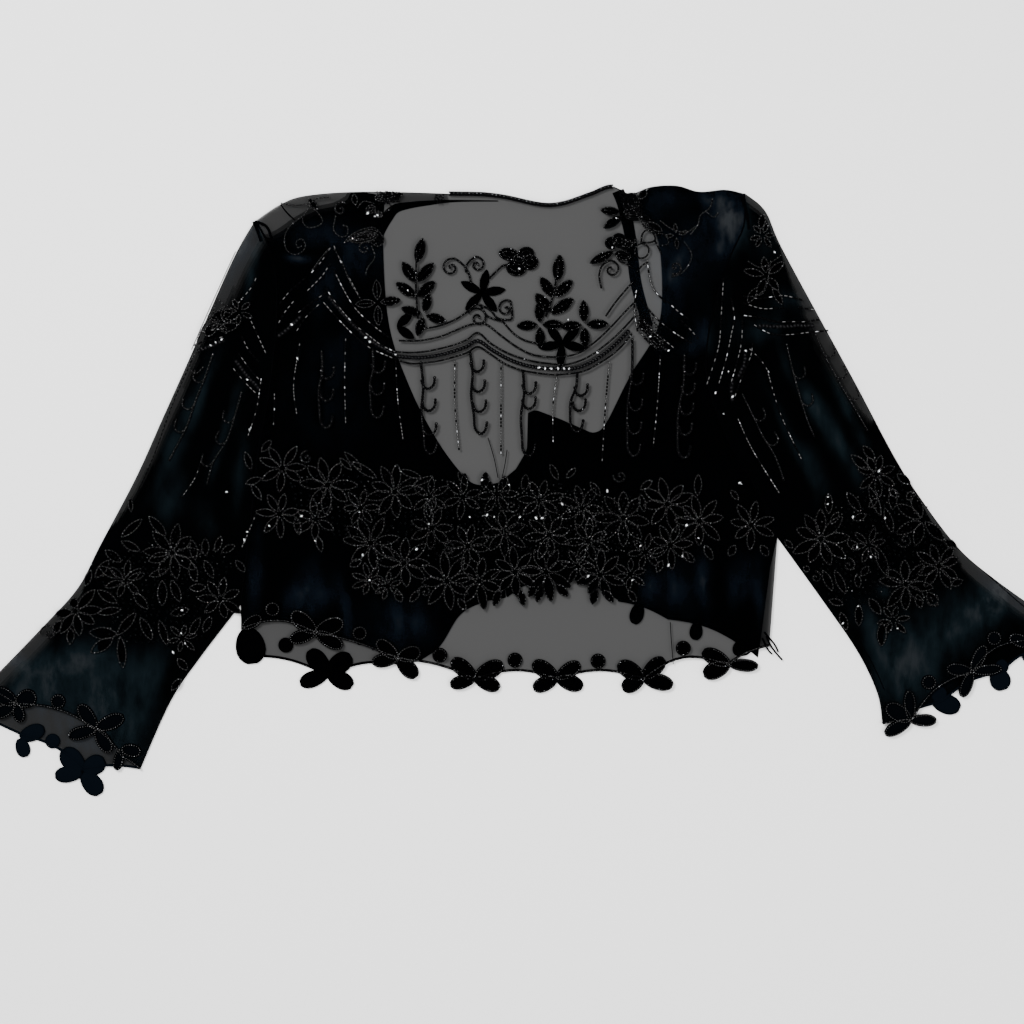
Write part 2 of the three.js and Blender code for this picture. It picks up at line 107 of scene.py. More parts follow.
# Even-odd rule: a point is inside when a line to its right crosses the outline an odd number of times
def isInside(points, outline):
    x, y = points[:, :1], points[:, 1:2]
    a, b = outline, np.roll(outline, -1, axis=0)
    crosses = (a[:, 1] > y) != (b[:, 1] > y)
    rise = np.where(b[:, 1] == a[:, 1], 1, b[:, 1] - a[:, 1])
    xCross = a[:, 0] + (y - a[:, 1]) * (b[:, 0] - a[:, 0]) / rise
    return (crosses & (x < xCross)).sum(axis=1) % 2 == 1


# Cut of the panels, in millimetres from the middle
cut = {
    # left x, left y, right x, right y from the shoulder tips to where the sleeves part from the body
    "sides": [
        (-256, 267, 232, 294), (-242, 240, 231, 262), (-235, 205, 216, 226), (-236, 150, 198, 165),
        (-243, 92, 195, 108), (-253, 38, 218, 43), (-261, -35, 245, -3), (-271, -117, 265, -50),
    ],
    "underarm": 5,  # the row of the sides at which the sleeves begin to lie along the body
    "shoulders": [
        (-256, 267), (-232, 283), (-206, 292), (-150, 296), (-62, 294), (-12, 290), (38, 281), (78, 292),
        (100, 301), (118, 294), (140, 301), (165, 302), (187, 296), (213, 298), (232, 294),
    ],
    "leftOuter": [
        (-257, 267), (-280, 226), (-323, 128), (-349, 70), (-376, 10), (-412, -58), (-434, -100),
        (-470, -140), (-528, -200),
    ],
    "leftInner": [(-272, -118), (-312, -170), (-341, -213), (-371, -280)],
    "rightOuter": [
        (233, 294), (253, 277), (268, 243), (304, 176), (344, 103), (381, 33), (408, -10), (446, -60),
        (482, -91), (528, -124),
    ],
    "rightInner": [(266, -51), (310, -112), (345, -163), (365, -205), (370, -235)],
    "leftFrontEdge": [
        (-127, 292), (-129, 245), (-123, 163), (-102, 100), (-75, 48), (-49, 13), (-33, 3), (-10.3, 6),
    ],
    "leftFrontCutaway": [(-94, -174), (-72, -158), (-52, -127), (-28, -114), (-6.3, -110)],
    "rightFrontEdge": [
        (128, 294), (129, 272), (146, 248), (150, 190), (143, 153), (118, 112), (93, 63), (80, 55),
    ],
    "rightFrontFlap": [(48, 69), (24, 78), (16, 75), (15, 38), (4, 19), (-9.6, 8)],
    "rightFrontCutaway": [(-5.7, -110), (18, -96), (68, -93), (106, -112)],
    # x, y and half width
    "leftNeckBand": [
        (-14, 287, 0.5), (-57, 287, 1.1), (-84, 285, 2.4), (-104, 282.5, 3.4), (-117, 279, 4.6),
        (-125, 270, 5.5), (-129.5, 256, 2.5), (-130.5, 246, 0.5),
    ],
    "rightNeckBand": [(106, 297, 6), (112, 281, 6), (119, 247, 5.5), (124, 205, 5.5), (136, 162, 5)],
}

# Hems as x, y and the rise of the arch to the next row
hems = {
    "back": [
        (-270, -140, 10), (-196, -144, 3), (-114, -170, 4), (-37, -190, 8), (45, -190, 8), (131, -190, 14),
        (215, -176, 3), (257, -157, 0),
    ],
    "leftFront": [(-271, -168, 7), (-184, -187, 6), (-114, -175, 0)],
    "rightFront": [(106, -112, 3), (156, -130, 6), (232, -158, 0)],
    "leftCuff": [(-528, -200, 2), (-495, -215, 7), (-415, -240, 2), (-389, -268, 1), (-371, -280, 0)],
    "leftCuffUnder": [(-528, -200, 0), (-520, -232, 0), (-490, -246, 5), (-427, -280, 3), (-371, -280, 0)],
    "rightCuff": [(370, -235, 1), (399, -231, 9), (459, -183, 9), (514, -152, 2), (528, -124, 0)],
    "rightCuffUnder": [(370, -235, 2), (430, -213, 6), (489, -184, 4), (527, -160, 0), (528, -124, 0)],
}


# A hem's edge: each stretch is straight plus a sine arch that rises towards the cloth
def hemLine(rows, steps=12):
    rows = np.asarray(rows, float)
    start, end = rows[:-1, :2], rows[1:, :2]
    inward = leftOf(unit(end - start))
    t = (np.arange(steps) / steps)[None, :, None]
    arch = rows[:-1, 2][:, None, None] * np.sin(math.pi * t)
    points = start[:, None] + (end - start)[:, None] * t + inward[:, None] * arch
    return np.concatenate([points.reshape(-1, 2), rows[-1:, :2]])


# A patch between four edges: the two ruled surfaces between opposite edges, added, less the plane
# bilinear patch of the corners
def patch(top, bottom, left, right, columns, rows):
    s = np.linspace(0, 1, columns + 1)
    t = np.linspace(0, 1, rows + 1)
    a, b, c, d = atShares(top, s), atShares(bottom, s), atShares(left, t), atShares(right, t)
    s, t = s[None, :, None], t[:, None, None]
    across = a[None] * (1 - t) + b[None] * t
    down = c[:, None] * (1 - s) + d[:, None] * s
    corners = a[0] * (1 - s) * (1 - t) + a[-1] * s * (1 - t) + b[0] * (1 - s) * t + b[-1] * s * t
    return across + down - corners


# Levels over the surface that it lies on
heights = {
    "upper": 3.0,  # underside of the back and of the sleeves' upper layers
    "inWall": 0.75,  # how high the thin net lies in its layer
    "seam": 1.5,  # underside of the sewn edges
    "fold": 1.6,  # the folded edges of the sleeves
    "front": 0.7,  # the fronts, and the under layers of the sleeves
    "creases": (-1.2, 2.4),  # how low and how high the smaller creases may go together
    "ripple": 0.12,
}
rippleLengths = (7.3, 11.7, 9.1, 13.3)  # of its four sine waves
seamTop = heights["seam"] + heights["inWall"]

# Main folds: x and y at both ends, half width and height
folds = [
    (-252, 262, -236, 214, 13, 6), (-212, 276, -176, 214, 17, 4), (-238, 190, -252, 60, 14, 5),
    (-232, -40, -190, -108, 14, 4), (-166, -50, -162, -112, 14, 4), (-112, -70, -116, -128, 15, 3),
    (214, 296, 226, 232, 13, 7), (188, 290, 180, 226, 15, 5), (146, 296, 154, 248, 15, 4),
    (146, 196, 214, 216, 15, 4), (142, -52, 148, -104, 13, 4), (186, -48, 190, -112, 13, 5),
    (232, -64, 228, -116, 12, 3), (-284, 196, -314, 60, 15, 5), (-270, 108, -290, -84, 14, 6),
    (-304, 52, -330, -84, 14, 4), (-338, 34, -366, -70, 14, 3), (-446, -138, -420, -190, 17, 6),
    (-388, -168, -372, -226, 16, 6), (262, 160, 336, 0, 15, 6), (242, 120, 300, -40, 13, 5),
    (306, 140, 372, 20, 15, 4), (366, -122, 392, -178, 16, 5), (420, -98, 444, -142, 17, 6),
    (466, -98, 488, -124, 15, 4),
]
# Where the back sinks, as x, y, half width, half height and depth
hollows = [(-7, 188, 100, 85, 2.4), (48, -182, 105, 46, 2.4)]

# Smaller creases on the plan, in the same way, a minus height being a trough
creases = [
    (256, 224, 272, 246, 4, 2.0), (262, 221, 278, 230, 3, 1.4), (268, 250, 262, 330, 5, 1.2),
    (282, 214, 300, 236, 5, 1.0), (300, 236, 312, 262, 6, 0.9), (322, 200, 330, 232, 6, -0.7),
    (286, 262, 330, 259, 6, 0.9), (346, 208, 352, 240, 5, 0.7), (372, 232, 378, 268, 6, 0.6),
    (250, 276, 246, 318, 5, 1.1), (274, 280, 271, 352, 6, -0.9), (300, 356, 306, 420, 7, 0.6),
    (352, 366, 356, 430, 6, 0.5), (384, 384, 390, 440, 6, -0.5), (262, 420, 258, 500, 6, 0.8),
    (488, 430, 498, 480, 2.5, 1.0), (507, 446, 502, 480, 2.5, 1.0), (474, 440, 470, 474, 4, 0.4),
    (255, 542, 251, 604, 5, 1.4), (262, 548, 268, 600, 5, 0.8), (284, 566, 292, 604, 5, 1.2),
    (296, 570, 330, 616, 6, 1.5), (312, 566, 334, 600, 4, 0.7), (341, 582, 352, 640, 5, 1.3),
    (356, 600, 362, 632, 4, -0.8), (384, 598, 388, 638, 7, 0.9), (404, 602, 404, 636, 6, 0.8),
    (424, 604, 420, 632, 6, 0.9), (472, 612, 474, 664, 4, 0.4), (508, 608, 512, 660, 5, 0.3),
    (548, 594, 552, 662, 6, 0.4), (596, 606, 590, 660, 5, 0.3), (646, 566, 650, 606, 5, 1.1),
    (658, 560, 657, 612, 5, 1.5), (676, 566, 678, 606, 5, 0.9), (700, 556, 704, 612, 5, 1.7),
    (716, 560, 720, 600, 4, -0.7), (738, 556, 734, 600, 5, 1.1), (758, 566, 752, 620, 5, 0.8),
    (662, 190, 668, 214, 4, 0.8), (680, 194, 672, 222, 4, 0.9), (650, 196, 661, 216, 3, 0.8),
    (724, 200, 728, 246, 6, 1.3), (744, 196, 748, 240, 4, 1.8), (735, 204, 738, 236, 3, -0.9),
    (690, 232, 700, 272, 6, 0.8), (668, 276, 712, 268, 5, 1.2), (700, 322, 706, 352, 5, 1.1),
    (716, 238, 714, 268, 4, 0.7), (756, 300, 776, 296, 4, 0.8), (748, 318, 750, 350, 4, 1.1),
    (640, 232, 652, 262, 4, 0.5), (652, 262, 662, 296, 4, 0.6), (650, 392, 648, 440, 5, 0.6),
    (240, 240, 222, 300, 5, 0.9), (252, 262, 236, 330, 5, 1.2), (232, 300, 214, 362, 5, 1.0),
    (214, 366, 184, 452, 5, 1.4), (200, 362, 168, 446, 4, 1.1), (188, 378, 152, 470, 4, 0.9),
    (224, 372, 196, 470, 5, 1.2), (176, 440, 160, 500, 5, 1.0), (192, 450, 178, 508, 5, 1.1),
    (206, 500, 198, 530, 6, 1.2), (226, 452, 214, 522, 5, 0.9), (236, 470, 226, 540, 5, 0.8),
    (40, 650, 96, 640, 7, 1.0), (58, 668, 112, 650, 7, -0.9), (30, 676, 66, 662, 6, 0.9),
    (84, 690, 128, 668, 7, 1.1), (110, 704, 136, 676, 6, -0.8), (142, 660, 130, 724, 6, 1.2),
    (160, 664, 148, 720, 5, 1.0), (62, 716, 76, 738, 5, 0.7), (98, 742, 102, 762, 5, 0.7),
    (788, 340, 838, 442, 5, 1.4), (806, 340, 842, 424, 5, 1.1), (826, 352, 862, 430, 5, 1.2),
    (782, 380, 812, 462, 5, 1.3), (800, 430, 838, 512, 6, 1.5), (824, 436, 850, 500, 5, 1.1),
    (842, 424, 862, 486, 5, 1.0), (792, 356, 800, 380, 4, -0.8), (768, 390, 782, 436, 5, 0.8),
    (800, 470, 812, 510, 5, 0.8), (880, 640, 906, 690, 7, 1.1), (902, 622, 930, 672, 7, -0.9),
    (928, 612, 956, 664, 7, 1.1), (956, 600, 984, 648, 6, 0.9), (980, 592, 1004, 632, 6, -0.8),
    (866, 640, 884, 690, 4, 1.1), (990, 580, 1020, 608, 4, 0.9), (768, 560, 771, 636, 2.5, 0.7),
]


# Each ridge is its height, times the square of a half sine wave along it, times a bell curve across it
def ridgeHeights(x, y, ridges):
    height = np.zeros(x.shape)
    for x1, y1, x2, y2, halfWidth, high in ridges:
        alongX, alongY = x2 - x1, y2 - y1
        share = ((x - x1) * alongX + (y - y1) * alongY) / (alongX**2 + alongY**2)
        away = np.hypot(x - x1 - share * alongX, y - y1 - share * alongY)
        share = np.clip(share, 0, 1)
        height += high * np.sin(math.pi * share) ** 2 * np.exp(-((away / halfWidth) ** 2))
    return height


creaseRows = [(*fromPlan((a, b)), *fromPlan((c, d)), w, h) for a, b, c, d, w, h in creases]


# Cloth of the back and of the sleeves' upper layers: a level, plus folds and creases, less the hollows.
# A hollow falls off with the distance r from its middle as (1 - r squared) squared times (1 + 2 r squared).
# The ripple is the product of a sine wave along x and one along y, each bent by the other direction.
def clothTop(x, y):
    z = heights["upper"] + heights["inWall"] + ridgeHeights(x, y, folds)
    z += np.clip(ridgeHeights(x, y, creaseRows), *heights["creases"])
    for middleX, middleY, radiusX, radiusY, depth in hollows:
        r2 = np.minimum(((x - middleX) / radiusX) ** 2 + ((y - middleY) / radiusY) ** 2, 1)
        z -= depth * (1 - r2) ** 2 * (1 + 2 * r2)
    a, b, c, d = rippleLengths
    return z + heights["ripple"] * np.sin(x / a + np.sin(y / b)) * np.sin(y / c + np.sin(x / d))


def setInputs(node, **values):
    for socket, value in values.items():
        node.inputs[socket.replace("_", " ")].default_value = value


def makeMaterial(name, colour, roughness, specular=0.0, metallic=0.0, alpha=1.0):
    material = bpy.data.materials.new(name)
    material.use_nodes = True
    setInputs(
        material.node_tree.nodes["Principled BSDF"], Base_Color=(*colour, 1), Roughness=roughness,
        Specular_IOR_Level=specular, Metallic=metallic, Alpha=alpha,
    )
    return material


netTones = {
    "dark": (0.0003, 0.0004, 0.0005), "navy": (0.0019, 0.0032, 0.0052), "teal": (0.0028, 0.005, 0.0064),
    "pale": (0.014, 0.016, 0.018),
    "darkUpTo": 0.05, "tintedAt": 0.45,  # places on the way from dark to pale
    "stretch": (1.5, 0.7, 1.0), "detail": 4, "roughness": 0.6,  # of the clouds of painted sheen
    "cloudsFrom": 0.36, "cloudsTo": 0.66, "least": 0.3,  # their range, and the share of painted sheen between them
}


# Net whose colour goes from near black through a tint to a pale grey, by the painted sheen stored on its
# points times noise that is stretched along y into streaks: painted sheen where the net's folds and layers
# catch the light
def makeNet(name, alpha, tint="navy", scale=60):
    material = makeMaterial(name, netTones["dark"], 0.8, alpha=alpha)
    nodes, links = material.node_tree.nodes, material.node_tree.links
    place = nodes.new("ShaderNodeTexCoord")
    stretch = nodes.new("ShaderNodeMapping")
    setInputs(stretch, Scale=netTones["stretch"])
    clouds = nodes.new("ShaderNodeTexNoise")
    setInputs(clouds, Scale=scale, Detail=netTones["detail"], Roughness=netTones["roughness"])
    spread = nodes.new("ShaderNodeMapRange")
    setInputs(
        spread, From_Min=netTones["cloudsFrom"], From_Max=netTones["cloudsTo"], To_Min=netTones["least"],
    )
    paintedSheen = nodes.new("ShaderNodeAttribute")
    paintedSheen.attribute_name = "paintedSheen"
    both = nodes.new("ShaderNodeMath")
    both.operation = "MULTIPLY"
    ramp = nodes.new("ShaderNodeValToRGB")
    stops = ramp.color_ramp.elements
    stops[0].position, stops[1].position = netTones["darkUpTo"], netTones["tintedAt"]
    stops.new(1.0)
    for stop, tone in zip(stops, ("dark", tint, "pale")):
        stop.color = (*netTones[tone], 1)
    links.new(place.outputs["Object"], stretch.inputs["Vector"])
    links.new(stretch.outputs["Vector"], clouds.inputs["Vector"])
    links.new(clouds.outputs["Fac"], spread.inputs["Value"])
    links.new(spread.outputs["Result"], both.inputs[0])
    links.new(paintedSheen.outputs["Fac"], both.inputs[1])
    links.new(both.outputs["Value"], ramp.inputs["Fac"])
    links.new(ramp.outputs["Color"], nodes["Principled BSDF"].inputs["Base Color"])
    return material


# How much of the light each look of the net stops
netCover = {
    "netBack": 0.79, "netEdge": 0.93, "netSleeve": 0.925, "netFront": 0.995, "netBare": 0.81, "netCuff": 0.89,
    "netThin": 0.1, "netThird": 0.35, "netHalf": 0.65,
}
# Colour, roughness, specular and metallic of the rest
finishes = {
    "stitch": ((0.0003, 0.0003, 0.0004), 0.9, 0.0, 0.0),
    "leafDark": ((0.0006, 0.0009, 0.0014), 0.9, 0.0, 0.0),
    "leafPlain": ((0.0009, 0.0018, 0.0031), 0.9, 0.01, 0.0),
    "thread": ((0.0005, 0.0005, 0.0007), 0.9, 0.0, 0.0),
    "bead": ((0.0006, 0.0006, 0.0008), 0.35, 0.02, 0.0),
    # bright finishes for painted highlights: beadShine and bugleShine on the glints of beads and bugles,
    # beadGlint on the brightest, sequinLit on sequins painted as catching the light
    "beadShine": ((0.09, 0.09, 0.09), 0.3, 0.4, 0.0),
    "bugleShine": ((0.1, 0.1, 0.1), 0.3, 0.5, 0.0),
    "beadGlint": ((0.45, 0.46, 0.48), 0.25, 0.8, 0.0),
    "sequin": ((0.001, 0.001, 0.0015), 0.25, 0.12, 0.0),
    "sequinLit": ((0.93, 0.95, 0.98), 0.15, 0.6, 1.0),
}
looks = {name: makeNet(name, cover) for name, cover in netCover.items() if name != "netSleeve"}
looks["netSleeve"] = makeNet("netSleeve", netCover["netSleeve"], "teal", 36)
looks.update({name: makeMaterial(name, *finish) for name, finish in finishes.items()})

# Painted sheen on the plan, where the net's folds and layers catch the light: patches as x, y, half width,
# half height, lean in degrees and strength, over a faint painted sheen everywhere
paintedSheenEverywhere = 0.06
paintedSheenFalloff = 1.2  # how sharply a patch fades
paintedSheenPatches = [
    (360, 256, 24, 20, 0, 1.0), (318, 235, 34, 12, 0, 0.8), (300, 259, 18, 4, 6, 1.2),
    (328, 285, 16, 26, 20, 0.7), (672, 262, 34, 26, -25, 0.9), (656, 300, 16, 30, 30, 0.5),
    (724, 228, 26, 26, 0, 0.9), (664, 200, 20, 12, 0, 0.6), (704, 334, 9, 18, 0, 1.0),
    (256, 570, 7, 34, 4, 1.0), (302, 590, 12, 28, 30, 1.1), (346, 612, 5, 32, -4, 1.2),
    (322, 596, 12, 22, 40, 0.9), (402, 622, 32, 22, 0, 1.1), (650, 586, 9, 20, 0, 1.0),
    (676, 588, 14, 22, 0, 1.1), (702, 584, 8, 28, 0, 1.2), (740, 580, 12, 24, 10, 0.9),
    (758, 590, 5, 30, 0, 0.8), (345, 352, 30, 20, 0, 0.35), (330, 400, 40, 50, 0, 0.25),
    (236, 262, 10, 40, 25, 0.7), (196, 410, 7, 60, 22, 0.8), (176, 440, 8, 54, 24, 0.8),
    (226, 430, 6, 60, 18, 0.6), (172, 500, 12, 24, 20, 0.7), (208, 520, 10, 16, 0, 0.8),
    (240, 480, 7, 40, 8, 0.5), (56, 668, 40, 20, -25, 1.15), (112, 690, 30, 40, 10, 1.15),
    (150, 680, 12, 44, 20, 0.8), (30, 700, 34, 22, -10, 1.0), (90, 740, 60, 30, 0, 0.9),
    (806, 400, 6, 50, -30, 0.8), (832, 430, 8, 60, -30, 1.0), (852, 420, 6, 50, -28, 0.9),
    (812, 470, 9, 34, -22, 0.9), (786, 430, 5, 44, -26, 0.6), (876, 640, 14, 50, -24, 0.9),
    (912, 655, 26, 40, -30, 1.15), (950, 628, 34, 26, -30, 1.15), (994, 600, 34, 26, -20, 1.1),
    (900, 690, 22, 30, 0, 1.0), (760, 330, 26, 14, 0, 0.7), (790, 300, 20, 10, 0, 0.5),
    (772, 236, 14, 20, 0, 0.5), (730, 218, 14, 24, -8, 2.0), (712, 200, 16, 8, 10, 1.2),
    (716, 250, 12, 12, 0, 0.8), (655, 205, 8, 14, 0, 0.8), (60, 676, 60, 34, -20, 0.3),
    (110, 700, 40, 40, 10, 0.3), (84, 660, 30, 10, -28, 0.4), (254, 262, 5, 34, 12, 1.2),
    (243, 240, 9, 22, 20, 1.4), (1000, 586, 34, 9, -38, 1.4), (990, 610, 30, 14, -30, 0.8),
    (664, 290, 46, 56, 0, 0.35), (20, 664, 26, 8, 40, 1.4), (850, 660, 5, 34, -24, 1.2),
    (884, 590, 8, 8, 0, 0.6), (690, 350, 8, 10, 0, 0.7),
]


# Each patch is a bell curve over the leaning ellipse, at half its strength, and the patches add up
def paintedSheenAt(x, y):
    paintedSheen = np.full(x.shape, paintedSheenEverywhere)
    planX, planY = x - planCorner[0], planCorner[1] - y
    for middleX, middleY, halfWidth, halfHeight, lean, strength in paintedSheenPatches:
        c, d = math.cos(math.radians(lean)), math.sin(math.radians(lean))
        across = ((planX - middleX) * c + (planY - middleY) * d) / halfWidth
        down = ((planY - middleY) * c - (planX - middleX) * d) / halfHeight
        paintedSheen += strength / 2 * np.exp(-(across**2 + down**2) * paintedSheenFalloff)
    return paintedSheen


# The map of a flat piece is its plan in metres, moved so that none of it is below zero
mapShift = 0.6
toMetres = 0.001


def makePiece(name, points, faces, look, slot, replaced=(), flatMap=False, faceLooks=None):
    mesh = bpy.data.meshes.new(name)
    corners = faces.shape[1]
    mesh.vertices.add(len(points))
    mesh.vertices.foreach_set("co", (points * toMetres).astype(np.float32).ravel())
    mesh.loops.add(faces.size)
    mesh.loops.foreach_set("vertex_index", faces.astype(np.int32).ravel())
    mesh.polygons.add(len(faces))
    mesh.polygons.foreach_set("loop_start", np.arange(0, faces.size, corners, dtype=np.int32))
    mesh.polygons.foreach_set("use_smooth", np.ones(len(faces), dtype=bool))
    mesh.update(calc_edges=True)
    if flatMap:
        # painted sheen stored on the points, where the net's folds catch the light
        paintedSheen = mesh.attributes.new("paintedSheen", "FLOAT", "POINT")
        paintedSheen.data.foreach_set("value", paintedSheenAt(points[:, 0], points[:, 1]).astype(np.float32))
        layer = mesh.uv_layers.new(name="UVMap")
        places = points[faces.ravel(), :2] * toMetres + mapShift
        layer.data.foreach_set("uv", places.astype(np.float32).ravel())
    for each in [look] if isinstance(look, str) else look:
        mesh.materials.append(looks[each])
    if faceLooks is not None:
        mesh.polygons.foreach_set("material_index", faceLooks.astype(np.int32))
    piece = bpy.data.objects.new(name, mesh)
    bpy.context.scene.collection.objects.link(piece)
    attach(piece, "root")
    if replaced:
        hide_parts(*replaced)
    return piece


# Four-sided faces of a grid; where it goes around, its last column meets its first
def gridFaces(rows, columns, aroundColumns=False):
    i = np.arange(rows)[:, None]
    j = np.arange(columns)[None, :]
    stride = columns if aroundColumns else columns + 1
    a = i * stride + j
    b = i * stride + (j + 1) % stride
    return np.stack([a, a + stride, b + stride, b], axis=-1).reshape(-1, 4)


# Copies of one small shape: each point is scaled, turned by the three axes and moved to its centre
def copies(shape, centres, axes, sizes):
    points, faces = shape
    placed = np.einsum("nij,nkj->nki", axes, points[None] * sizes[:, None, :]) + centres[:, None, :]
    offsets = (np.arange(len(centres)) * len(points))[:, None, None]
    return placed.reshape(-1, 3), (faces[None] + offsets).reshape(-1, faces.shape[1])


# Axes for shapes that lie on the cloth: x along the direction, z up, tilted by pitch and roll
def axesAlong(directions, pitch=0.0, roll=0.0):
    turn = np.arctan2(directions[:, 1], directions[:, 0])
    ct, st, cp, sp, cr, sr = (
        np.broadcast_to(f(angle), turn.shape) for angle in (turn, pitch, roll) for f in (np.cos, np.sin)
    )
    axes = np.empty((len(directions), 3, 3))
    axes[:, 0] = np.stack([ct * cp, ct * sp * sr - st * cr, ct * sp * cr + st * sr], axis=-1)
    axes[:, 1] = np.stack([st * cp, st * sp * sr + ct * cr, st * sp * cr - ct * sr], axis=-1)
    axes[:, 2] = np.stack([-sp, cp * sr, cp * cr], axis=-1)
    return axes


# The corner numbers around a ring, and the number after each
def ringSteps(count):
    k = np.arange(count)
    return k, (k + 1) % count


def ringPoints(count, radius=1.0, level=0.0, turn=0.0):
    around = np.arange(count) * 2 * math.pi / count + turn
    return np.stack([radius * np.cos(around), radius * np.sin(around), np.full(count, level)], axis=1)


def triangles(*corners):
    return np.stack(np.broadcast_arrays(*corners), axis=1)


# Bead: poles and two staggered rings of five
def beadShape():
    upper, lower = ringPoints(5, 0.894, 0.447), ringPoints(5, 0.894, -0.447, math.pi / 5)
    k, n = ringSteps(5)
    return np.concatenate([[[0, 0, 1]], upper, lower, [[0, 0, -1]]]), np.concatenate([
        triangles(0, 1 + k, 1 + n), triangles(1 + k, 6 + k, 1 + n), triangles(1 + n, 6 + k, 6 + n),
        triangles(11, 6 + n, 6 + k),
    ])


# The painted highlight on top of a bead: a small eight-sided solid, given a bright finish
def glintShape():
    k, n = ringSteps(4)
    points = np.array([[1, 0, 0], [0, 1, 0], [-1, 0, 0], [0, -1, 0], [0, 0, 1], [0, 0, -1]], float)
    return points, np.concatenate([triangles(k, n, 4), triangles(n, k, 5)])


# Bugle: a five-sided rod along x, closed by a point at each end
def bugleShape():
    ring = ringPoints(5, turn=math.pi / 2)[:, [2, 0, 1]]
    half = np.array([0.5, 0, 0])
    k, n = ringSteps(5)
    return np.concatenate([ring - half, ring + half, [-half, half]]), np.concatenate([
        triangles(n, 5 + k, k), triangles(5 + n, 5 + k, n), triangles(n, k, 10), triangles(5 + k, 5 + n, 11),
    ])


# Sequin: a shallow eight-sided cup with a thin rim below it, so that it is closed
def sequinShape():
    k, n = ringSteps(8)
    points = np.concatenate([ringPoints(8), [[0, 0, -0.18], [0, 0, -0.26]]])
    return points, np.concatenate([triangles(k, n, 8), triangles(n, k, 9)])


# Half width of a leaf at each share of its length: pointed at both ends, or round at its tip
def leafProfile(t, kind):
    if kind == "round":
        return np.sqrt(np.clip(1 - ((t - 0.58) / np.where(t < 0.58, 0.6, 0.43)) ** 2, 0, 1))
    if kind == "dot":
        return np.sqrt(np.clip(1 - (2 * t - 1) ** 2, 0, 1))
    return np.sin(math.pi * np.clip(t, 0, 1)) ** 0.7


def leafEdge(kind, count):
    turn = np.arange(count) * 2 * math.pi / count
    t = (1 - np.cos(turn)) / 2
    side = np.where(np.sin(turn) >= 0, 0.5, -0.5)
    return np.stack([t, side * leafProfile(t, kind)], axis=1)


# Padded leaf: rings that shrink towards its middle, each at one minus the square of its share of the
# radius, over a flat underside
def padShape(kind, count):
    edge, middle = leafEdge(kind, count), np.array([0.5, 0.0])
    rings = [columnsOf(middle + (edge - middle) * r, 1 - r**2) for r in (1, 0.8, 0.45)]
    points = np.concatenate([*rings, [[0.5, 0, 1], [0.5, 0, 0]]])
    k, n = ringSteps(count)
    faces = []
    for a in (0, count):
        b = a + count
        faces += [triangles(a + k, a + n, b + k), triangles(a + n, b + n, b + k)]
    faces += [triangles(2 * count + k, 2 * count + n, 3 * count), triangles(n, k, 3 * count + 1)]
    return points, np.concatenate(faces)


# Tube along a line in space: at each step a ring square to the line's plan direction
def tube(line, radius, sides=6):
    ahead = unit(np.gradient(line, axis=0))
    across = unit(np.stack([-ahead[:, 1], ahead[:, 0], 0 * ahead[:, 0]], axis=1))
    above = np.cross(ahead, across)
    cosine, sine, _ = ringPoints(sides).T[:, None, :, None]
    points = (line[:, None] + (across[:, None] * cosine + above[:, None] * sine) * radius).reshape(-1, 3)
    faces = gridFaces(len(line) - 1, sides, aroundColumns=True)
    k, last = np.arange(1, sides - 1), (len(line) - 1) * sides
    return points, np.concatenate([
        faces[:, [2, 1, 0]], faces[:, [3, 2, 0]],
        triangles(0, k, k + 1), triangles(last, last + k + 1, last + k),
    ])


def joinShapes(shapes):
    offset, points, faces = 0, [], []
    for p, f in shapes:
        points.append(p)
        faces.append(f + offset)
        offset += len(p)
    return np.concatenate(points), np.concatenate(faces)


print("panels")
sides = np.asarray(cut["sides"], float)
underarm = cut["underarm"] * 6
leftSide, rightSide = smoothLine(sides[:, :2]), smoothLine(sides[:, 2:])
shoulders = smoothLine(cut["shoulders"])
seamGap = np.array([0.2, 0])  # between the back and the sleeves
backEdges = {
    "top": shoulders,
    "bottom": hemLine(hems["back"]),
    "left": joinLines(leftSide, [hems["back"][0][:2]]),
    "right": joinLines(rightSide, [hems["back"][-1][:2]]),
}
leftEdges = {
    "top": leftSide[: underarm + 1] - seamGap,
    "left": smoothLine(cut["leftOuter"]),
    "right": joinLines(leftSide[underarm:] - seamGap, smoothLine(cut["leftInner"])),
}
rightEdges = {
    "top": (rightSide[: underarm + 1] + seamGap)[::-1],
    "left": joinLines(rightSide[underarm:] + seamGap, smoothLine(cut["rightInner"])),
    "right": smoothLine(cut["rightOuter"]),
}


def outlineOf(edges):
    return joinLines(edges["top"], edges["right"], edges["bottom"][::-1], edges["left"][::-1])


backPanel = {
    "columns": 250, "rows": 230, "flat": (0.54, 0.50),
    "length": 480, "fade": 5,  # its shoulders come down to the fronts over about this length
    "looseSide": (238, -48),  # right of and below here light comes in under it, and the net is made denser as painted shade that darkens this strip
    "turning": (-129, -64, 285),  # from, to and above: the double turning over the neck band
}


def makeBack():
    rows, columns = backPanel["rows"], backPanel["columns"]
    x, y = np.moveaxis(patch(**backEdges, columns=columns, rows=rows), -1, 0)
    down = np.linspace(0, 1, rows + 1)[:, None] * backPanel["length"]
    z = seamTop + (clothTop(x, y) - seamTop) * (1 - np.exp(-down / backPanel["fade"]))
    points = np.stack([x, y, z], axis=-1).reshape(-1, 3)
    faces = gridFaces(rows, columns)
    middleX, middleY, _ = points[faces].mean(axis=1).T
    rightOf, below = backPanel["looseSide"]
    start, end, above = backPanel["turning"]
    # painted shade: the strip by the loose side gets the denser net
    faceLooks = ((middleX > rightOf) & (middleY < below)).astype(int)
    faceLooks[(middleX > start) & (middleX < end) & (middleY > above)] = 2
    piece = makePiece(
        "backNet", points, faces, ["netBack", "netEdge", "netCuff"], "net", ["back"], flatMap=True,
        faceLooks=faceLooks,
    )
    outline = outlineOf(backEdges)
    return outline


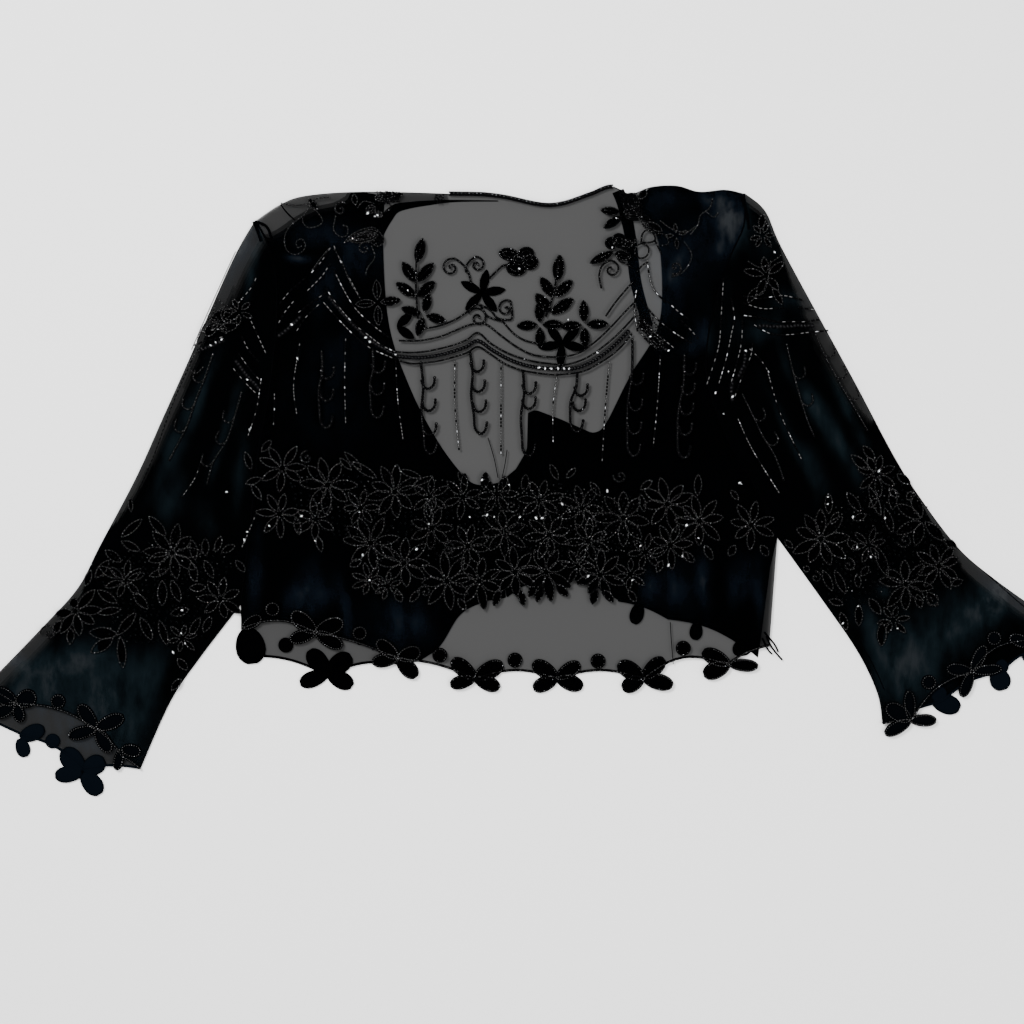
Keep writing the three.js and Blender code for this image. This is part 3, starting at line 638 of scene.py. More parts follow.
sleevePanel = {
    "columns": 70, "rows": 240, "flat": (0.55, 0.62),
    "round": 2.2,  # how far in from a folded edge the layers part
    "waves": (0.25, 19, 23),  # of the under layer
    # strips along the outer fold where the under layer hardly shows and the net is lighter: each is from
    # and to as shares of the way down, and its width
    "stripsLeft": [(-0.12, 0.22, 19), (0.16, 0.62, 9), (0.72, 1.1, 13)],
    "stripsRight": [(-0.05, 0.12, 8), (0.12, 0.5, 24), (0.68, 1.1, 13)],
    "stripLooks": ((3, 1.4), (2, 1.2), (1, 1.0)),  # looks from its rim inwards, and their widths
    "stripAbove": 0.8,  # its width on the upper layer
}
sleeveLooks = ["netSleeve", "netThin", "netThird", "netHalf", "netCuff", "netFront"]


# A sleeve goes around from its left fold over the upper layer to the right fold and back underneath. Next
# to a fold both layers come together by a falling exponential of the distance.
def makeSleeve(name, node, edges, upperHem, underHem, onRight, openLook, strips):
    columns, rows = sleevePanel["columns"], sleevePanel["rows"]
    shares = np.linspace(0, 1, columns + 1)
    upper = patch(**edges, bottom=hemLine(upperHem), columns=columns, rows=rows)
    under = patch(**edges, bottom=hemLine(underHem), columns=columns, rows=rows)
    widths = np.linalg.norm(upper[:, -1] - upper[:, 0], axis=1)[:, None]
    fromFold = np.minimum(shares, 1 - shares)[None, :] * widths
    fold, low = heights["fold"], heights["front"]
    parting = 1 - np.exp(-fromFold / sleevePanel["round"])
    wave, waveX, waveY = sleevePanel["waves"]
    waves = wave * np.sin(under[..., 0] / waveX) * np.sin(under[..., 1] / waveY)
    top = np.dstack([upper, fold + (clothTop(upper[..., 0], upper[..., 1]) - fold) * parting])
    bottom = np.dstack([under, fold + (low - fold + waves) * parting])
    points = np.concatenate([top, bottom[:, ::-1][:, 1:-1]], axis=1)
    around = points.shape[1]
    points = points.reshape(-1, 3)
    faces = gridFaces(rows, around, aroundColumns=True)
    down = (np.arange(rows) + 0.5)[:, None] / rows
    column = np.arange(around)[None, :]
    isUpper = column < columns
    # shares across the upper layer, and back across the under one
    share = np.where(isUpper, (column + 0.5) / columns, (2 * columns - column - 0.5) / columns)
    fromOuter = (1 - share if onRight else share) * widths[:-1]
    faceLooks = np.zeros((rows, around), int)
    for start, end, width in strips:
        swell = np.sin(math.pi * np.clip((down - start) / (end - start), 0, 1)) ** 0.5
        for look, reach in sleevePanel["stripLooks"]:
            faceLooks[~isUpper & (fromOuter < width * swell * reach)] = look
        faceLooks[isUpper & (fromOuter < width * swell * sleevePanel["stripAbove"])] = 4
    upperOutline = outlineOf({**edges, "bottom": hemLine(upperHem)})
    # below the upper hem the under layer lies bare
    middles = points[faces][:, :, :2].mean(axis=1)
    bare = ~isUpper.repeat(rows, axis=0).ravel() & ~isInside(middles, upperOutline)
    piece = makePiece(
        name, points, faces, sleeveLooks, "net", [node], flatMap=True,
        faceLooks=np.where(bare, openLook, faceLooks.ravel()),
    )
    return upperOutline


# Above this line the back rolls over the left shoulder and lies in one layer
shoulderFold = smoothLine(fromPlan([
    (257.5, 223), (264, 234), (276, 230), (292, 219), (304, 212), (318, 206), (332, 203), (341, 199),
    (346, 195.4),
]))
frontPanels = {
    "flatLeft": (0.27, 0.49), "flatRight": (0.27, 0.475),
    "edgeStep": 3.5, "spacing": 6.0, "clearOfEdge": 3,  # of the points along the edge and inside it
    "waves": (0.25, 17, 29, 21),
    "foldSteps": ([0, 0], [2, -3.5], [4, -7]),  # the net thickens in three steps below the shoulder's fold
    "beyondFold": [[-160, 320], [-270, 320]],
    "lowerRight": [(258, -80), (246, -170)],  # the hidden side of the right front
}


# A flat panel inside an outline, with points of its own every few millimetres
def makeFlatPanel(name, node, outline, bareLook, foldLine=None):
    edge, _ = stepsAlong(joinLines(outline, outline[:1]), frontPanels["edgeStep"], closed=True)
    spacing = frontPanels["spacing"]
    ends = zip(edge.min(axis=0), edge.max(axis=0))
    gridX, gridY = np.meshgrid(*(np.arange(low, high, spacing) for low, high in ends))
    gridX[1::2] += spacing / 2
    inner = np.stack([gridX.ravel(), gridY.ravel()], axis=1)
    inner = inner[isInside(inner, edge)]
    nearest = np.min(np.linalg.norm(inner[:, None] - edge[None], axis=2), axis=1)
    inner = inner[nearest > frontPanels["clearOfEdge"]]
    bonds = [(k, (k + 1) % len(edge)) for k in range(len(edge))]
    foldLines = [] if foldLine is None else [foldLine + step for step in frontPanels["foldSteps"]]
    for line in foldLines:
        first = len(edge) + len(inner)
        line = line[isInside(line, edge)]
        inner = np.concatenate([inner, line])
        bonds += [(k, k + 1) for k in range(first, first + len(line) - 1)]
    found = delaunay_2d_cdt([tuple(p) for p in np.concatenate([edge, inner])], bonds, [], 1, 1e-4)
    flatPoints, faces = np.array([tuple(p) for p in found[0]]), np.array(found[2])
    x, y = flatPoints.T
    wave, waveX, bend, waveY = frontPanels["waves"]
    z = heights["front"] + wave * np.sin(x / waveX + np.sin(y / bend)) * np.sin(y / waveY)
    a, b, c = (flatPoints[faces[:, k]] for k in range(3))
    turned = (b - a)[:, 0] * (c - a)[:, 1] - (b - a)[:, 1] * (c - a)[:, 0] < 0
    faces[turned] = faces[turned][:, ::-1]
    middles = flatPoints[faces].mean(axis=1)
    faceLooks = np.where(isInside(middles, backOutline), 0, 1)
    for look, line in zip((4, 3, 2), foldLines[::-1]):
        faceLooks[isInside(middles, joinLines(line, frontPanels["beyondFold"]))] = look
    piece = makePiece(
        name, np.column_stack([flatPoints, z]), faces,
        ["netFront", bareLook, "netThird", "netHalf", "netCuff"], "net", [node],
        flatMap=True, faceLooks=faceLooks,
    )


def makeFronts():
    left = joinLines(
        smoothLine(cut["shoulders"][:4]),
        smoothLine(cut["leftFrontEdge"]),
        smoothLine(cut["leftFrontCutaway"])[::-1],
        hemLine(hems["leftFront"])[::-1],
        leftSide[::-1],
    )[:-1]
    right = joinLines(
        smoothLine(cut["shoulders"][-5:]),
        rightSide,
        frontPanels["lowerRight"],
        hemLine(hems["rightFront"])[::-1],
        smoothLine(cut["rightFrontCutaway"])[::-1],
        np.asarray(cut["rightFrontFlap"], float)[::-1],
        smoothLine(cut["rightFrontEdge"])[::-1],
    )
    makeFlatPanel("frontLeftNet", "front_left", left, "netBare", shoulderFold)
    makeFlatPanel("frontRightNet", "front_right", right, "netFront")
    return left, right


neckBands = {
    "flatLeft": (0.132, 0.012), "flatRight": (0.14, 0.011),
    "rim": 0.2, "arch": 0.9,  # height of its edges, and of its middle over them
}


# Neck band: a strip along its centre line, arched a little across as one minus the square of the share
def makeNeckBand(name, node, rows):
    line = smoothLine(rows, 8)
    across = leftOf(unit(np.gradient(line[:, :2], axis=0)))
    s = np.linspace(-1, 1, 9)
    flatPoints = line[:, None, :2] + across[:, None] * (line[:, 2:] * s)[..., None]
    z = np.broadcast_to(neckBands["rim"] + neckBands["arch"] * (1 - s**2), flatPoints.shape[:2])
    points = np.dstack([flatPoints, z]).reshape(-1, 3)
    faces = gridFaces(len(line) - 1, 8)[:, ::-1]
    piece = makePiece(name, points, faces, "netFront", "net", [node], flatMap=True)


backOutline = makeBack()
leftOutline = makeSleeve(
    "sleeveLeftNet", "sleeve_left", leftEdges, hems["leftCuff"], hems["leftCuffUnder"], False, 4,
    sleevePanel["stripsLeft"],
)
rightOutline = makeSleeve(
    "sleeveRightNet", "sleeve_right", rightEdges, hems["rightCuff"], hems["rightCuffUnder"], True, 5,
    sleevePanel["stripsRight"],
)
frontOutlines = makeFronts()
makeNeckBand("neckBandLeft", "neck_band_left", cut["leftNeckBand"])
makeNeckBand("neckBandRight", "neck_band_right", cut["rightNeckBand"])


def onCloth(points):
    return isInside(points, backOutline) | isInside(points, leftOutline) | isInside(points, rightOutline)


print("embroidery")
seeds, bugles, sequins, pads = [], [], [], []
beading = {
    "radius": 1.0, "pitch": 1.75,  # seed beads of leaves and lines
    "outlineRadius": 1.3,  # of stems and spirals
    "tendrilRadius": 1.2, "scallopRadius": 1.25,
    "hangingRadius": 1.75, "hangingPitch": 2.4,  # of the hooked strands
    "curlRadius": 1.25, "curlPitch": 1.9,  # of the strands on the sleeves
    "bugleLength": 3.8, "bugleRadius": 0.75, "bugleGap": 0.7,
    "shortBugle": 2.6, "thinBugle": 0.72,  # of the hanging strands
    "sequinRadius": 2.185, "sequinPitch": 3.2,
    "dimmer": 0.5,  # beads get a full painted highlight, and one this share of its size, in turns
}


# Each bead is its centre x, y, its radius, the height of its middle over the cloth, and the size of the
# painted highlight (glint) on it, as a share of a full one
def addSeeds(line, radius=None, pitch=None, lift=0.0, closed=False, dimmer=None):
    radius = radius or beading["radius"]
    centres, _ = stepsAlong(line, pitch or beading["pitch"], closed)
    catch = np.where(np.arange(len(centres)) % 2, dimmer or beading["dimmer"], 1.0)
    seeds.append(columnsOf(centres, radius, radius + lift, catch))


# Each bugle is its centre, its direction, its length and its radius
def addBugles(line, length=None, radius=None):
    length, radius = length or beading["bugleLength"], radius or beading["bugleRadius"]
    centres, directions = stepsAlong(line, length + beading["bugleGap"])
    bugles.append(columnsOf(centres, directions, length, radius))


def addSequinRow(line):
    centres, directions = stepsAlong(line, beading["sequinPitch"])
    sequins.append(columnsOf(centres, directions, beading["sequinRadius"]))


def planLine(points):
    return smoothLine(fromPlan(points)) if len(points) > 2 else fromPlan(points)


def direction(degrees):
    return np.array([math.cos(math.radians(degrees)), math.sin(math.radians(degrees))])


# The edge of a leaf on the cloth, drawn in by an inset along it and one across it
def leafLine(kind, root, along, length, width, insets, count):
    edge = (leafEdge(kind, count) - [0.5, 0]) * [1 - insets[0] / length, 1 - insets[1] / width] + [0.5, 0]
    line = root + edge[:, :1] * length * along + edge[:, 1:] * width * leftOf(along)
    return np.concatenate([line, line[:1]])


leafStyle = {
    "shortened": np.array([1, 0.85, 0.7, 0.55]),  # a leaf that runs past a folded edge is cut to one of these
    "insets": (1.2, 1.6),  # of its beads, along and across
    "lift": 0.25,  # of its beads over a stitched leaf
    "clothLift": 0.05,  # of a stitched leaf over the cloth
    "vein": [[0.2], [0.78]], "veinRadius": 0.6,
}


# A leaf from its root, pointing along an angle in degrees anticlockwise from the right
def addLeaf(root, angle, length, width, beaded=True, vein=False, height=0.7):
    along, shares = direction(angle), leafStyle["shortened"]
    fits = shares[onCloth(root + shares[:, None] * (length + 1) * along)]
    if not len(fits):
        return
    length = length * fits[0]
    pads.append(("almond", root, along, length, width, height))
    if beaded:
        line = leafLine("almond", root, along, length, width, leafStyle["insets"], 40)
        addSeeds(line, lift=leafStyle["lift"], closed=True)
    if vein:
        vein = root + np.array(leafStyle["vein"]) * length * along
        addSeeds(vein, radius=leafStyle["veinRadius"], lift=height)


flowerStyle = {
    "heart": 2.6,  # radius of its middle, where the petals begin
    "width": 0.39,  # of a petal, as a share of the flower's reach
    "lean": 10, "shorter": 0.16, "longer": 0.1,  # how far its petals differ
}


def addFlower(x, y, petals, reach, turn, width=None, jitter=1.0, vein=False):
    centre, heart = fromPlan((x, y)), flowerStyle["heart"]
    petalWidth = reach * (width or flowerStyle["width"])
    for k in range(petals):
        angle = turn + 360 * k / petals + jitter * rng.uniform(-flowerStyle["lean"], flowerStyle["lean"])
        length = (reach - heart) * (1 + jitter * rng.uniform(-flowerStyle["shorter"], flowerStyle["longer"]))
        addLeaf(centre + heart * direction(angle), angle, length, petalWidth, vein=vein)


spiralStyle = {"innermost": 0.12, "points": 40}  # where it begins, as a share of its radius


# A spiral that winds out from its middle, its radius growing evenly with the angle, and then runs along
# its tail
def addSpiral(x, y, radius, turns, start, way=1, tail=()):
    t = np.linspace(spiralStyle["innermost"], 1, spiralStyle["points"])
    angle = math.radians(start) + way * 2 * math.pi * turns * (t - 1)
    line = fromPlan((x, y)) + radius * t[:, None] * np.stack([np.cos(angle), np.sin(angle)], axis=1)
    if len(tail):
        end = tuple((line[-1] - planCorner) * [1, -1])
        line = joinLines(line, planLine([end, *tail])[1:])
    addSeeds(line, beading["outlineRadius"])


# Scalloped lines over the upper back: seed lines, bugle lines and rows of sequins
scallops = {
    "seeds": [
        [(425, 329), (440, 326), (455, 320), (466, 313), (478, 304), (487, 316), (500, 321)],
        [(503, 322), (514, 334), (526, 341), (540, 344)],
        [(400, 341), (420, 341), (440, 337), (455, 331), (470, 325), (485, 324), (500, 335), (515, 346),
         (530, 354), (545, 357), (562, 357), (577, 354), (590, 346), (602, 336), (614, 324), (625, 312),
         (633, 304)],
        [(606, 316), (615, 303), (625, 291), (632, 283)],
        [(400, 361), (412, 364), (425, 363), (440, 361), (455, 357), (467, 353), (478, 347), (490, 354),
         (505, 364), (520, 370), (535, 373), (552, 375), (570, 374), (585, 371), (600, 363), (612, 355),
         (622, 346), (631, 335)],
        [(395, 352), (410, 353), (425, 352), (440, 349), (455, 345), (467, 340), (478, 333), (490, 343),
         (505, 352), (520, 358), (535, 362), (550, 364), (565, 365), (580, 361), (592, 355), (603, 347),
         (615, 337), (625, 327), (634, 317)],
    ],
    "bugles": [
        [(335, 248), (343, 266), (351, 281), (360, 298)],
        [(335, 272), (344, 290), (355, 308), (370, 323), (388, 337)],
        [(327, 290), (340, 308), (354, 324), (368, 335), (381, 345), (395, 352)],
        [(325, 304), (340, 321), (355, 336), (370, 348), (385, 355), (400, 361)],
        [(330, 265), (322, 277), (309, 290)], [(304, 280), (291, 291), (281, 303)],
        [(325, 294), (312, 303), (300, 312)], [(293, 303), (285, 313), (280, 322)],
        [(330, 250), (322, 262), (313, 272)], [(318, 306), (306, 318), (298, 330)],
        [(647, 262), (650, 281), (655, 292), (664, 301)], [(636, 292), (634, 310), (637, 330)],
        [(641, 300), (650, 312), (661, 323), (674, 333), (690, 343)],
        [(641, 318), (650, 329), (661, 338), (672, 347)], [(642, 335), (650, 344), (660, 351)],
        [(707, 383), (714, 362), (719, 342), (721, 312), (723, 280)],
        [(719, 382), (726, 358), (731, 334), (734, 318), (731, 300)],
        [(730, 385), (737, 361), (741, 342), (742, 322)], [(735, 395), (742, 376), (750, 357), (752, 345)],
        [(682, 322), (690, 330), (697, 338)], [(668, 303), (678, 312), (686, 318)],
        [(745, 297), (760, 299), (782, 296), (800, 300)], [(745, 304), (762, 309), (781, 308)],
        [(745, 316), (760, 318), (775, 322), (790, 322), (806, 322), (822, 319)],
        [(755, 326), (770, 334), (788, 335), (806, 333), (826, 331)], [(800, 308), (818, 311)],
        [(210, 316), (222, 311), (235, 307), (243, 299)], [(196, 345), (208, 341), (222, 338)],
        [(250, 318), (257, 333), (266, 352)], [(243, 338), (249, 350), (258, 361)],
        [(240, 355), (251, 370), (262, 382)], [(235, 370), (245, 382), (255, 392)],
        [(244, 298), (252, 288), (256, 280)], [(204, 332), (218, 330), (238, 328)],
    ],
    "sequins": [
        [(330, 298), (345, 316), (360, 331), (376, 344), (397, 356)],
        [(400, 357), (418, 358), (436, 356), (452, 352), (466, 347), (478, 341), (492, 350), (508, 359),
         (524, 365), (540, 368), (556, 369), (572, 369), (586, 365), (600, 357), (614, 346), (628, 332)],
        [(200, 351), (211, 347), (224, 341)], [(237, 362), (247, 375), (259, 388)],
        [(644, 330), (654, 340), (666, 350)], [(745, 352), (744, 364), (738, 376)],
        [(732, 380), (731, 390), (732, 400)], [(760, 326), (778, 327), (794, 326), (812, 326)],
        [(280, 336), (292, 326), (300, 318)],
    ],
    # single sequins painted as catching the light, in a near-white metallic finish
    "lit": [
        (223, 340), (217, 343), (212, 346), (248, 380), (366, 338), (370, 342), (396, 355), (292, 325),
        (539, 368), (545, 369), (551, 369), (558, 369), (564, 369), (569, 369), (408, 291), (519, 269),
        (616, 219), (650, 337), (668, 351), (568, 320), (597, 353), (745, 351), (732, 397), (723, 414),
        (728, 372), (715, 393), (302, 516), (270, 526), (248, 532), (316, 541), (363, 555), (370, 580),
        (417, 549), (470, 517), (487, 515), (494, 517), (482, 480), (509, 485), (536, 518), (542, 518),
        (562, 504), (588, 576), (607, 491), (632, 580), (668, 565), (682, 556), (698, 538), (686, 525),
        (739, 483), (741, 484), (375, 217), (378, 216), (368, 214), (353, 239), (250, 430), (298, 359),
        (827, 497), (827, 504), (852, 517), (884, 518), (870, 557), (856, 547), (842, 623), (857, 606),
        (896, 628), (878, 471), (92, 564), (183, 610), (182, 633), (186, 643), (174, 652), (245, 540),
        (774, 253), (612, 248), (429, 524), (360, 512), (640, 546), (520, 517), (228, 492),
    ],
}

# Strands hanging from the scallops: x and y at the top, x and y at the foot, heights of the hooks
curlStrands = [
    (322, 352, 320, 422, [376, 398]), (373, 352, 371, 412, [370, 392]), (421, 363, 424, 448, [386, 408, 432]),
    (470, 352, 474, 428, [369, 389, 409]), (523, 372, 522, 450, [391, 406]), (577, 374, 570, 426, [393, 408]),
    (632, 340, 627, 450, [382, 408, 431]), (684, 356, 677, 452, [372, 392, 412, 432]),
]
bugleStrands = [
    (300, 345, 294, 385, 297, 413), (346, 340, 345, 380, 346, 422), (396, 362, 398, 400, 403, 438),
    (455, 362, 455, 405, 459, 449), (501, 362, 501, 405, 501, 453), (557, 375, 553, 405, 553, 441),
    (609, 363, 605, 410, 602, 460), (660, 357, 657, 405, 653, 446), (203, 458, 196, 478, 183, 497),
    (262, 380, 257, 410, 248, 438), (256, 515, 250, 530, 243, 546), (750, 350, 760, 360, 768, 372),
    (768, 375, 780, 415, 800, 458), (738, 420, 752, 450, 778, 492), (275, 395, 275, 408, 274, 424),
]
sleeveCurls = [
    ([(214, 355), (206, 378), (196, 402), (188, 425), (178, 445), (170, 460)], -1, [0.25, 0.5, 0.72]),
    ([(242, 393), (236, 415), (228, 440), (214, 462), (208, 484)], -1, [0.3, 0.55, 0.8]),
    ([(786, 345), (792, 372), (799, 398), (806, 420), (813, 436)], 1, [0.35, 0.65]),
    ([(742, 395), (752, 415), (762, 436), (774, 456), (783, 480)], 1, [0.3, 0.6]),
    ([(815, 335), (826, 360), (840, 386), (854, 410), (866, 430)], 1, [0.22, 0.45, 0.68]),
]


# A strand from its top to its foot, which bends a little to and fro and curls up at its end, with hooks
def addCurlStrand(x1, y1, x2, y2, hooks):
    sway, curl = 1.4, 12
    end = [(x2, y2 - curl), (x2 + 1, y2), (x2 + 6, y2 + 6), (x2 + 11, y2 + 3), (x2 + 13, y2 - 5)]
    bends = [
        (x1 + (x2 - x1) * k / 3 + way * sway, y1 + (y2 - curl - y1) * k / 3) for k, way in ((1, 1), (2, -1))
    ]
    lines = [[(x1, y1), *bends, *end]]
    for y in hooks:
        x = x1 + (x2 - x1) * (y - y1) / (y2 - y1)
        lines.append([(x, y - 5), (x + 2, y + 1), (x + 7, y + 3), (x + 12, y - 1), (x + 13, y - 8)])
    for line in lines:
        addSeeds(planLine(line), beading["hangingRadius"], beading["hangingPitch"])


sleeveHook = np.array([[-4, 0], [1, 2], [3, 6], [0, 11], [-7, 12]])  # along the strand, and away from it
aheadShare = 0.03  # of the strand, over which its direction is measured


# A strand down a sleeve, with hooks on one side of it
def addSleeveCurl(points, side, hooks):
    line = planLine(points)
    lines = [line]
    for share in hooks:
        root, ahead = atShares(line, [share, min(share + aheadShare, 1)])
        along = (ahead - root) / np.linalg.norm(ahead - root)
        hook = root + sleeveHook[:, :1] * along + sleeveHook[:, 1:] * leftOf(along) * side
        lines.append(smoothLine(hook))
    for each in lines:
        addSeeds(each, beading["curlRadius"], beading["curlPitch"])


# Flowers on the plan: x, y, petals, reach, turn
bandFlowers = [
    (283, 468, 7, 24, 12), (328, 485, 8, 29, 5), (395, 492, 9, 28, 0), (280, 514, 7, 23, 20),
    (316, 519, 6, 23, 30), (371, 543, 7, 27, 14), (404, 563, 8, 28, 0), (447, 581, 8, 28, 10),
    (479, 581, 7, 27, 28), (515, 572, 8, 26, 4), (546, 572, 7, 28, 20), (600, 575, 7, 26, 38),
    (630, 574, 6, 18, 20), (370, 580, 7, 18, 0), (388, 586, 6, 16, 20), (623, 518, 8, 30, 0),
    (667, 504, 8, 28, 12), (699, 521, 8, 26, 4), (751, 525, 7, 24, 18), (582, 508, 7, 25, 0),
    (670, 545, 7, 23, 10), (432, 528, 7, 25, 8), (468, 546, 8, 24, 30), (504, 532, 8, 25, 10),
    (463, 497, 6, 22, 24), (497, 494, 6, 22, 4), (540, 500, 7, 23, 18), (549, 535, 8, 25, 14),
    (588, 541, 7, 23, 32), (361, 508, 6, 20, 10), (645, 552, 6, 19, 10), (578, 566, 6, 18, 0),
    (430, 497, 6, 20, 30), (173, 553, 9, 29, 8), (76, 611, 8, 27, 4), (221, 599, 7, 24, 20),
    (126, 580, 6, 20, 14), (183, 638, 6, 16, 20), (820, 539, 9, 30, 6), (922, 520, 7, 30, 4),
    (905, 584, 8, 28, 0), (938, 566, 8, 25, 18), (876, 474, 7, 22, 20), (868, 545, 6, 18, 12),
    (892, 620, 6, 17, 6),
]
# Single leaves on the plan: x, y of the root, x, y of the tip, width
bandLeaves = [
    (262, 452, 272, 440, 8), (345, 452, 362, 470, 8), (352, 470, 340, 458, 7), (377, 478, 352, 462, 9),
    (400, 470, 422, 478, 8), (412, 486, 434, 476, 7), (366, 542, 347, 526, 12), (262, 500, 252, 484, 8),
    (262, 478, 246, 484, 8), (300, 535, 296, 518, 8), (318, 536, 322, 552, 8), (246, 452, 252, 470, 8),
    (362, 560, 350, 566, 9), (396, 590, 402, 602, 9), (420, 590, 410, 602, 8), (458, 598, 466, 610, 8),
    (500, 588, 494, 606, 9), (520, 590, 524, 606, 8), (541, 584, 537, 602, 9), (556, 584, 568, 596, 9),
    (596, 588, 592, 604, 9), (604, 590, 613, 602, 8), (628, 590, 636, 602, 8), (662, 560, 656, 572, 8),
    (682, 552, 694, 562, 9), (704, 545, 712, 560, 9), (697, 496, 698, 474, 9), (735, 545, 728, 556, 9),
    (760, 545, 768, 556, 9), (738, 500, 730, 490, 7), (640, 490, 652, 480, 8), (600, 496, 590, 482, 8),
    (558, 480, 550, 464, 8), (566, 478, 576, 468, 7), (524, 492, 526, 474, 9), (508, 494, 504, 476, 9),
    (484, 490, 486, 472, 9), (468, 486, 458, 472, 8), (644, 512, 640, 494, 8), (431, 512, 434, 496, 9),
    (150, 516, 167, 536, 10), (122, 537, 143, 519, 9), (122, 541, 141, 551, 9), (106, 550, 122, 562, 10),
    (196, 560, 193, 540, 9), (206, 556, 206, 538, 9), (216, 552, 222, 536, 8), (205, 560, 214, 578, 9),
    (192, 562, 196, 582, 10), (222, 552, 236, 545, 8), (118, 603, 98, 590, 10), (122, 609, 98, 613, 9),
    (110, 560, 96, 578, 10), (100, 566, 118, 578, 9), (142, 568, 122, 586, 10), (150, 576, 168, 570, 8),
    (134, 592, 149, 609, 10), (163, 580, 163, 606, 11), (172, 580, 181, 602, 10), (190, 588, 207, 587, 9),
    (118, 635, 137, 612, 10), (121, 636, 124, 668, 10), (118, 634, 90, 632, 13), (114, 638, 92, 652, 12),
    (141, 617, 153, 640, 10), (160, 620, 168, 645, 9), (171, 614, 190, 609, 10), (190, 636, 201, 617, 9),
    (204, 632, 212, 616, 9), (62, 620, 54, 634, 9), (72, 628, 72, 644, 9), (178, 658, 190, 672, 9),
    (172, 690, 182, 678, 8), (132, 512, 131, 498, 6), (86, 586, 92, 570, 8), (236, 560, 246, 572, 8),
    (828, 514, 828, 493, 9), (846, 492, 860, 512, 10), (852, 520, 866, 514, 8), (868, 486, 880, 516, 9),
    (892, 510, 892, 488, 10), (884, 508, 892, 533, 9), (875, 546, 887, 576, 11), (858, 550, 846, 540, 9),
    (822, 570, 832, 591, 9), (834, 570, 845, 594, 9), (856, 574, 858, 588, 8), (808, 566, 800, 576, 8),
    (868, 598, 880, 614, 10), (881, 622, 880, 646, 10), (858, 626, 858, 604, 9), (828, 600, 843, 604, 8),
    (840, 612, 846, 630, 9), (926, 592, 936, 606, 11), (916, 594, 920, 608, 9), (850, 455, 868, 470, 10),
    (862, 446, 874, 460, 9), (890, 460, 898, 450, 8), (896, 474, 912, 486, 9), (888, 488, 898, 498, 8),
    (906, 500, 914, 490, 9), (944, 540, 956, 548, 9), (838, 512, 830, 524, 8), (792, 548, 784, 540, 7),
    (930, 500, 940, 508, 8), (868, 566, 860, 576, 8), (950, 585, 962, 580, 8), (876, 498, 868, 508, 7),
]

# Sprigs of the yoke: the stem, then leaves as root x, y, angle, length, width
sprigs = [
    ([(417, 252), (416, 285), (418, 318)],
     [(417, 263, 76, 25, 11), (415, 282, 122, 23, 11), (417, 282, 48, 25, 11), (416, 297, 145, 24, 11),
      (418, 297, 42, 23, 11)]),
    ([(558, 262), (554, 292), (546, 316)],
     [(557, 282, 84, 27, 12), (553, 297, 122, 23, 11), (555, 297, 44, 24, 11), (550, 312, 128, 23, 12),
      (551, 314, 34, 27, 12)]),
]
for stem, leaves in sprigs:
    addSeeds(planLine(stem), beading["outlineRadius"])
    for x, y, *leaf in leaves:
        addLeaf(fromPlan((x, y)), *leaf, vein=True)

# Four-leaved flowers as x, y, petals, reach and turn, and plain ones with no beads
for flower in [(424, 315, 4, 23, -14), (378, 303, 4, 23, 4), (540, 325, 4, 24, 0), (584, 325, 4, 24, 3)]:
    addFlower(*flower, width=0.42, jitter=0.3, vein=True)
plainFlowers = {
    "width": 9.5, "height": 1.0,
    # x, y, reach and the angles of the petals
    "flowers": [
        (482, 293, 24, (78, 8, -52, 226, 152)), (562, 344, 24, (44, -12, -95, 190, 128)),
        (397, 327, 21, (-34, 42)),
    ],
}
for x, y, reach, angles in plainFlowers["flowers"]:
    for angle in angles:
        width, height = plainFlowers["width"], plainFlowers["height"]
        addLeaf(fromPlan((x, y)), angle, reach, width, beaded=False, height=height)

ovalStyle = {"height": 0.9, "lift": 0.5, "radius": 1.1, "rim": 1.0, "inner": 0.45}


# An oval as x, y, half length, half width and angle, with rings of beads: one at its rim, and one further
# in by a share of its half width
def addOval(x, y, halfLength, halfWidth, angle, filled=True, rings=2):
    along, middle, rim = direction(angle), fromPlan((x, y)), ovalStyle["rim"]
    across = leftOf(along)
    if filled:
        root = middle - along * halfLength
        pads.append(("dot", root, along, 2 * halfLength, 2 * halfWidth, ovalStyle["height"]))
    around = np.linspace(0, 2 * math.pi, 18)[:, None]
    for inset in (rim, ovalStyle["inner"] * halfWidth + rim)[:rings] if filled else (0,):
        ring = np.cos(around) * (halfLength - inset) * along + np.sin(around) * (halfWidth - inset) * across
        addSeeds(middle + ring, ovalStyle["radius"], lift=ovalStyle["lift"] if filled else 0, closed=True)


# Three roses and the buds near them
for oval in [
    (509, 254.5, 10.5, 6.5, -8), (526, 254, 8.5, 7, 10), (530, 262.5, 8.5, 8, 0), (516.5, 268, 10.5, 8.5, 0),
    (519, 260, 7, 6, 0),
    (611.5, 243.5, 7, 6.5, 0), (619, 241, 7.5, 8, 60), (626, 245, 6.5, 5, 60), (623, 256, 8.5, 5, -15),
    (633, 217, 9.5, 4.5, -5), (371, 210, 6, 5, 30), (379, 215, 5, 4, -20), (631, 203, 9, 10, 0),
    (385, 198, 11, 5, 5), (364, 238, 15, 6, 10),
    (644, 326, 8, 5, -60), (656, 341, 9, 6, -50),
]:
    addOval(*oval)
for oval in [(222, 316, 13, 6, 22), (212, 330, 9, 6, 50), (229, 328, 10, 5, 15)]:
    addOval(*oval, rings=1)
addOval(641.5, 251.5, 7.5, 7, 60, filled=False)
addSeeds(planLine([(509, 265), (503, 266), (497, 271), (490, 278)]), beading["outlineRadius"])
for points in [
    [(617, 258), (620, 262), (626, 264), (632, 268)], [(637, 272), (642, 266), (647, 263)],
    [(641, 242), (642, 235), (646, 231), (652, 233), (655, 240), (650, 243), (641, 243)],
    [(655, 242), (658, 248), (661, 254)],
]:
    addSeeds(planLine(points), beading["tendrilRadius"])
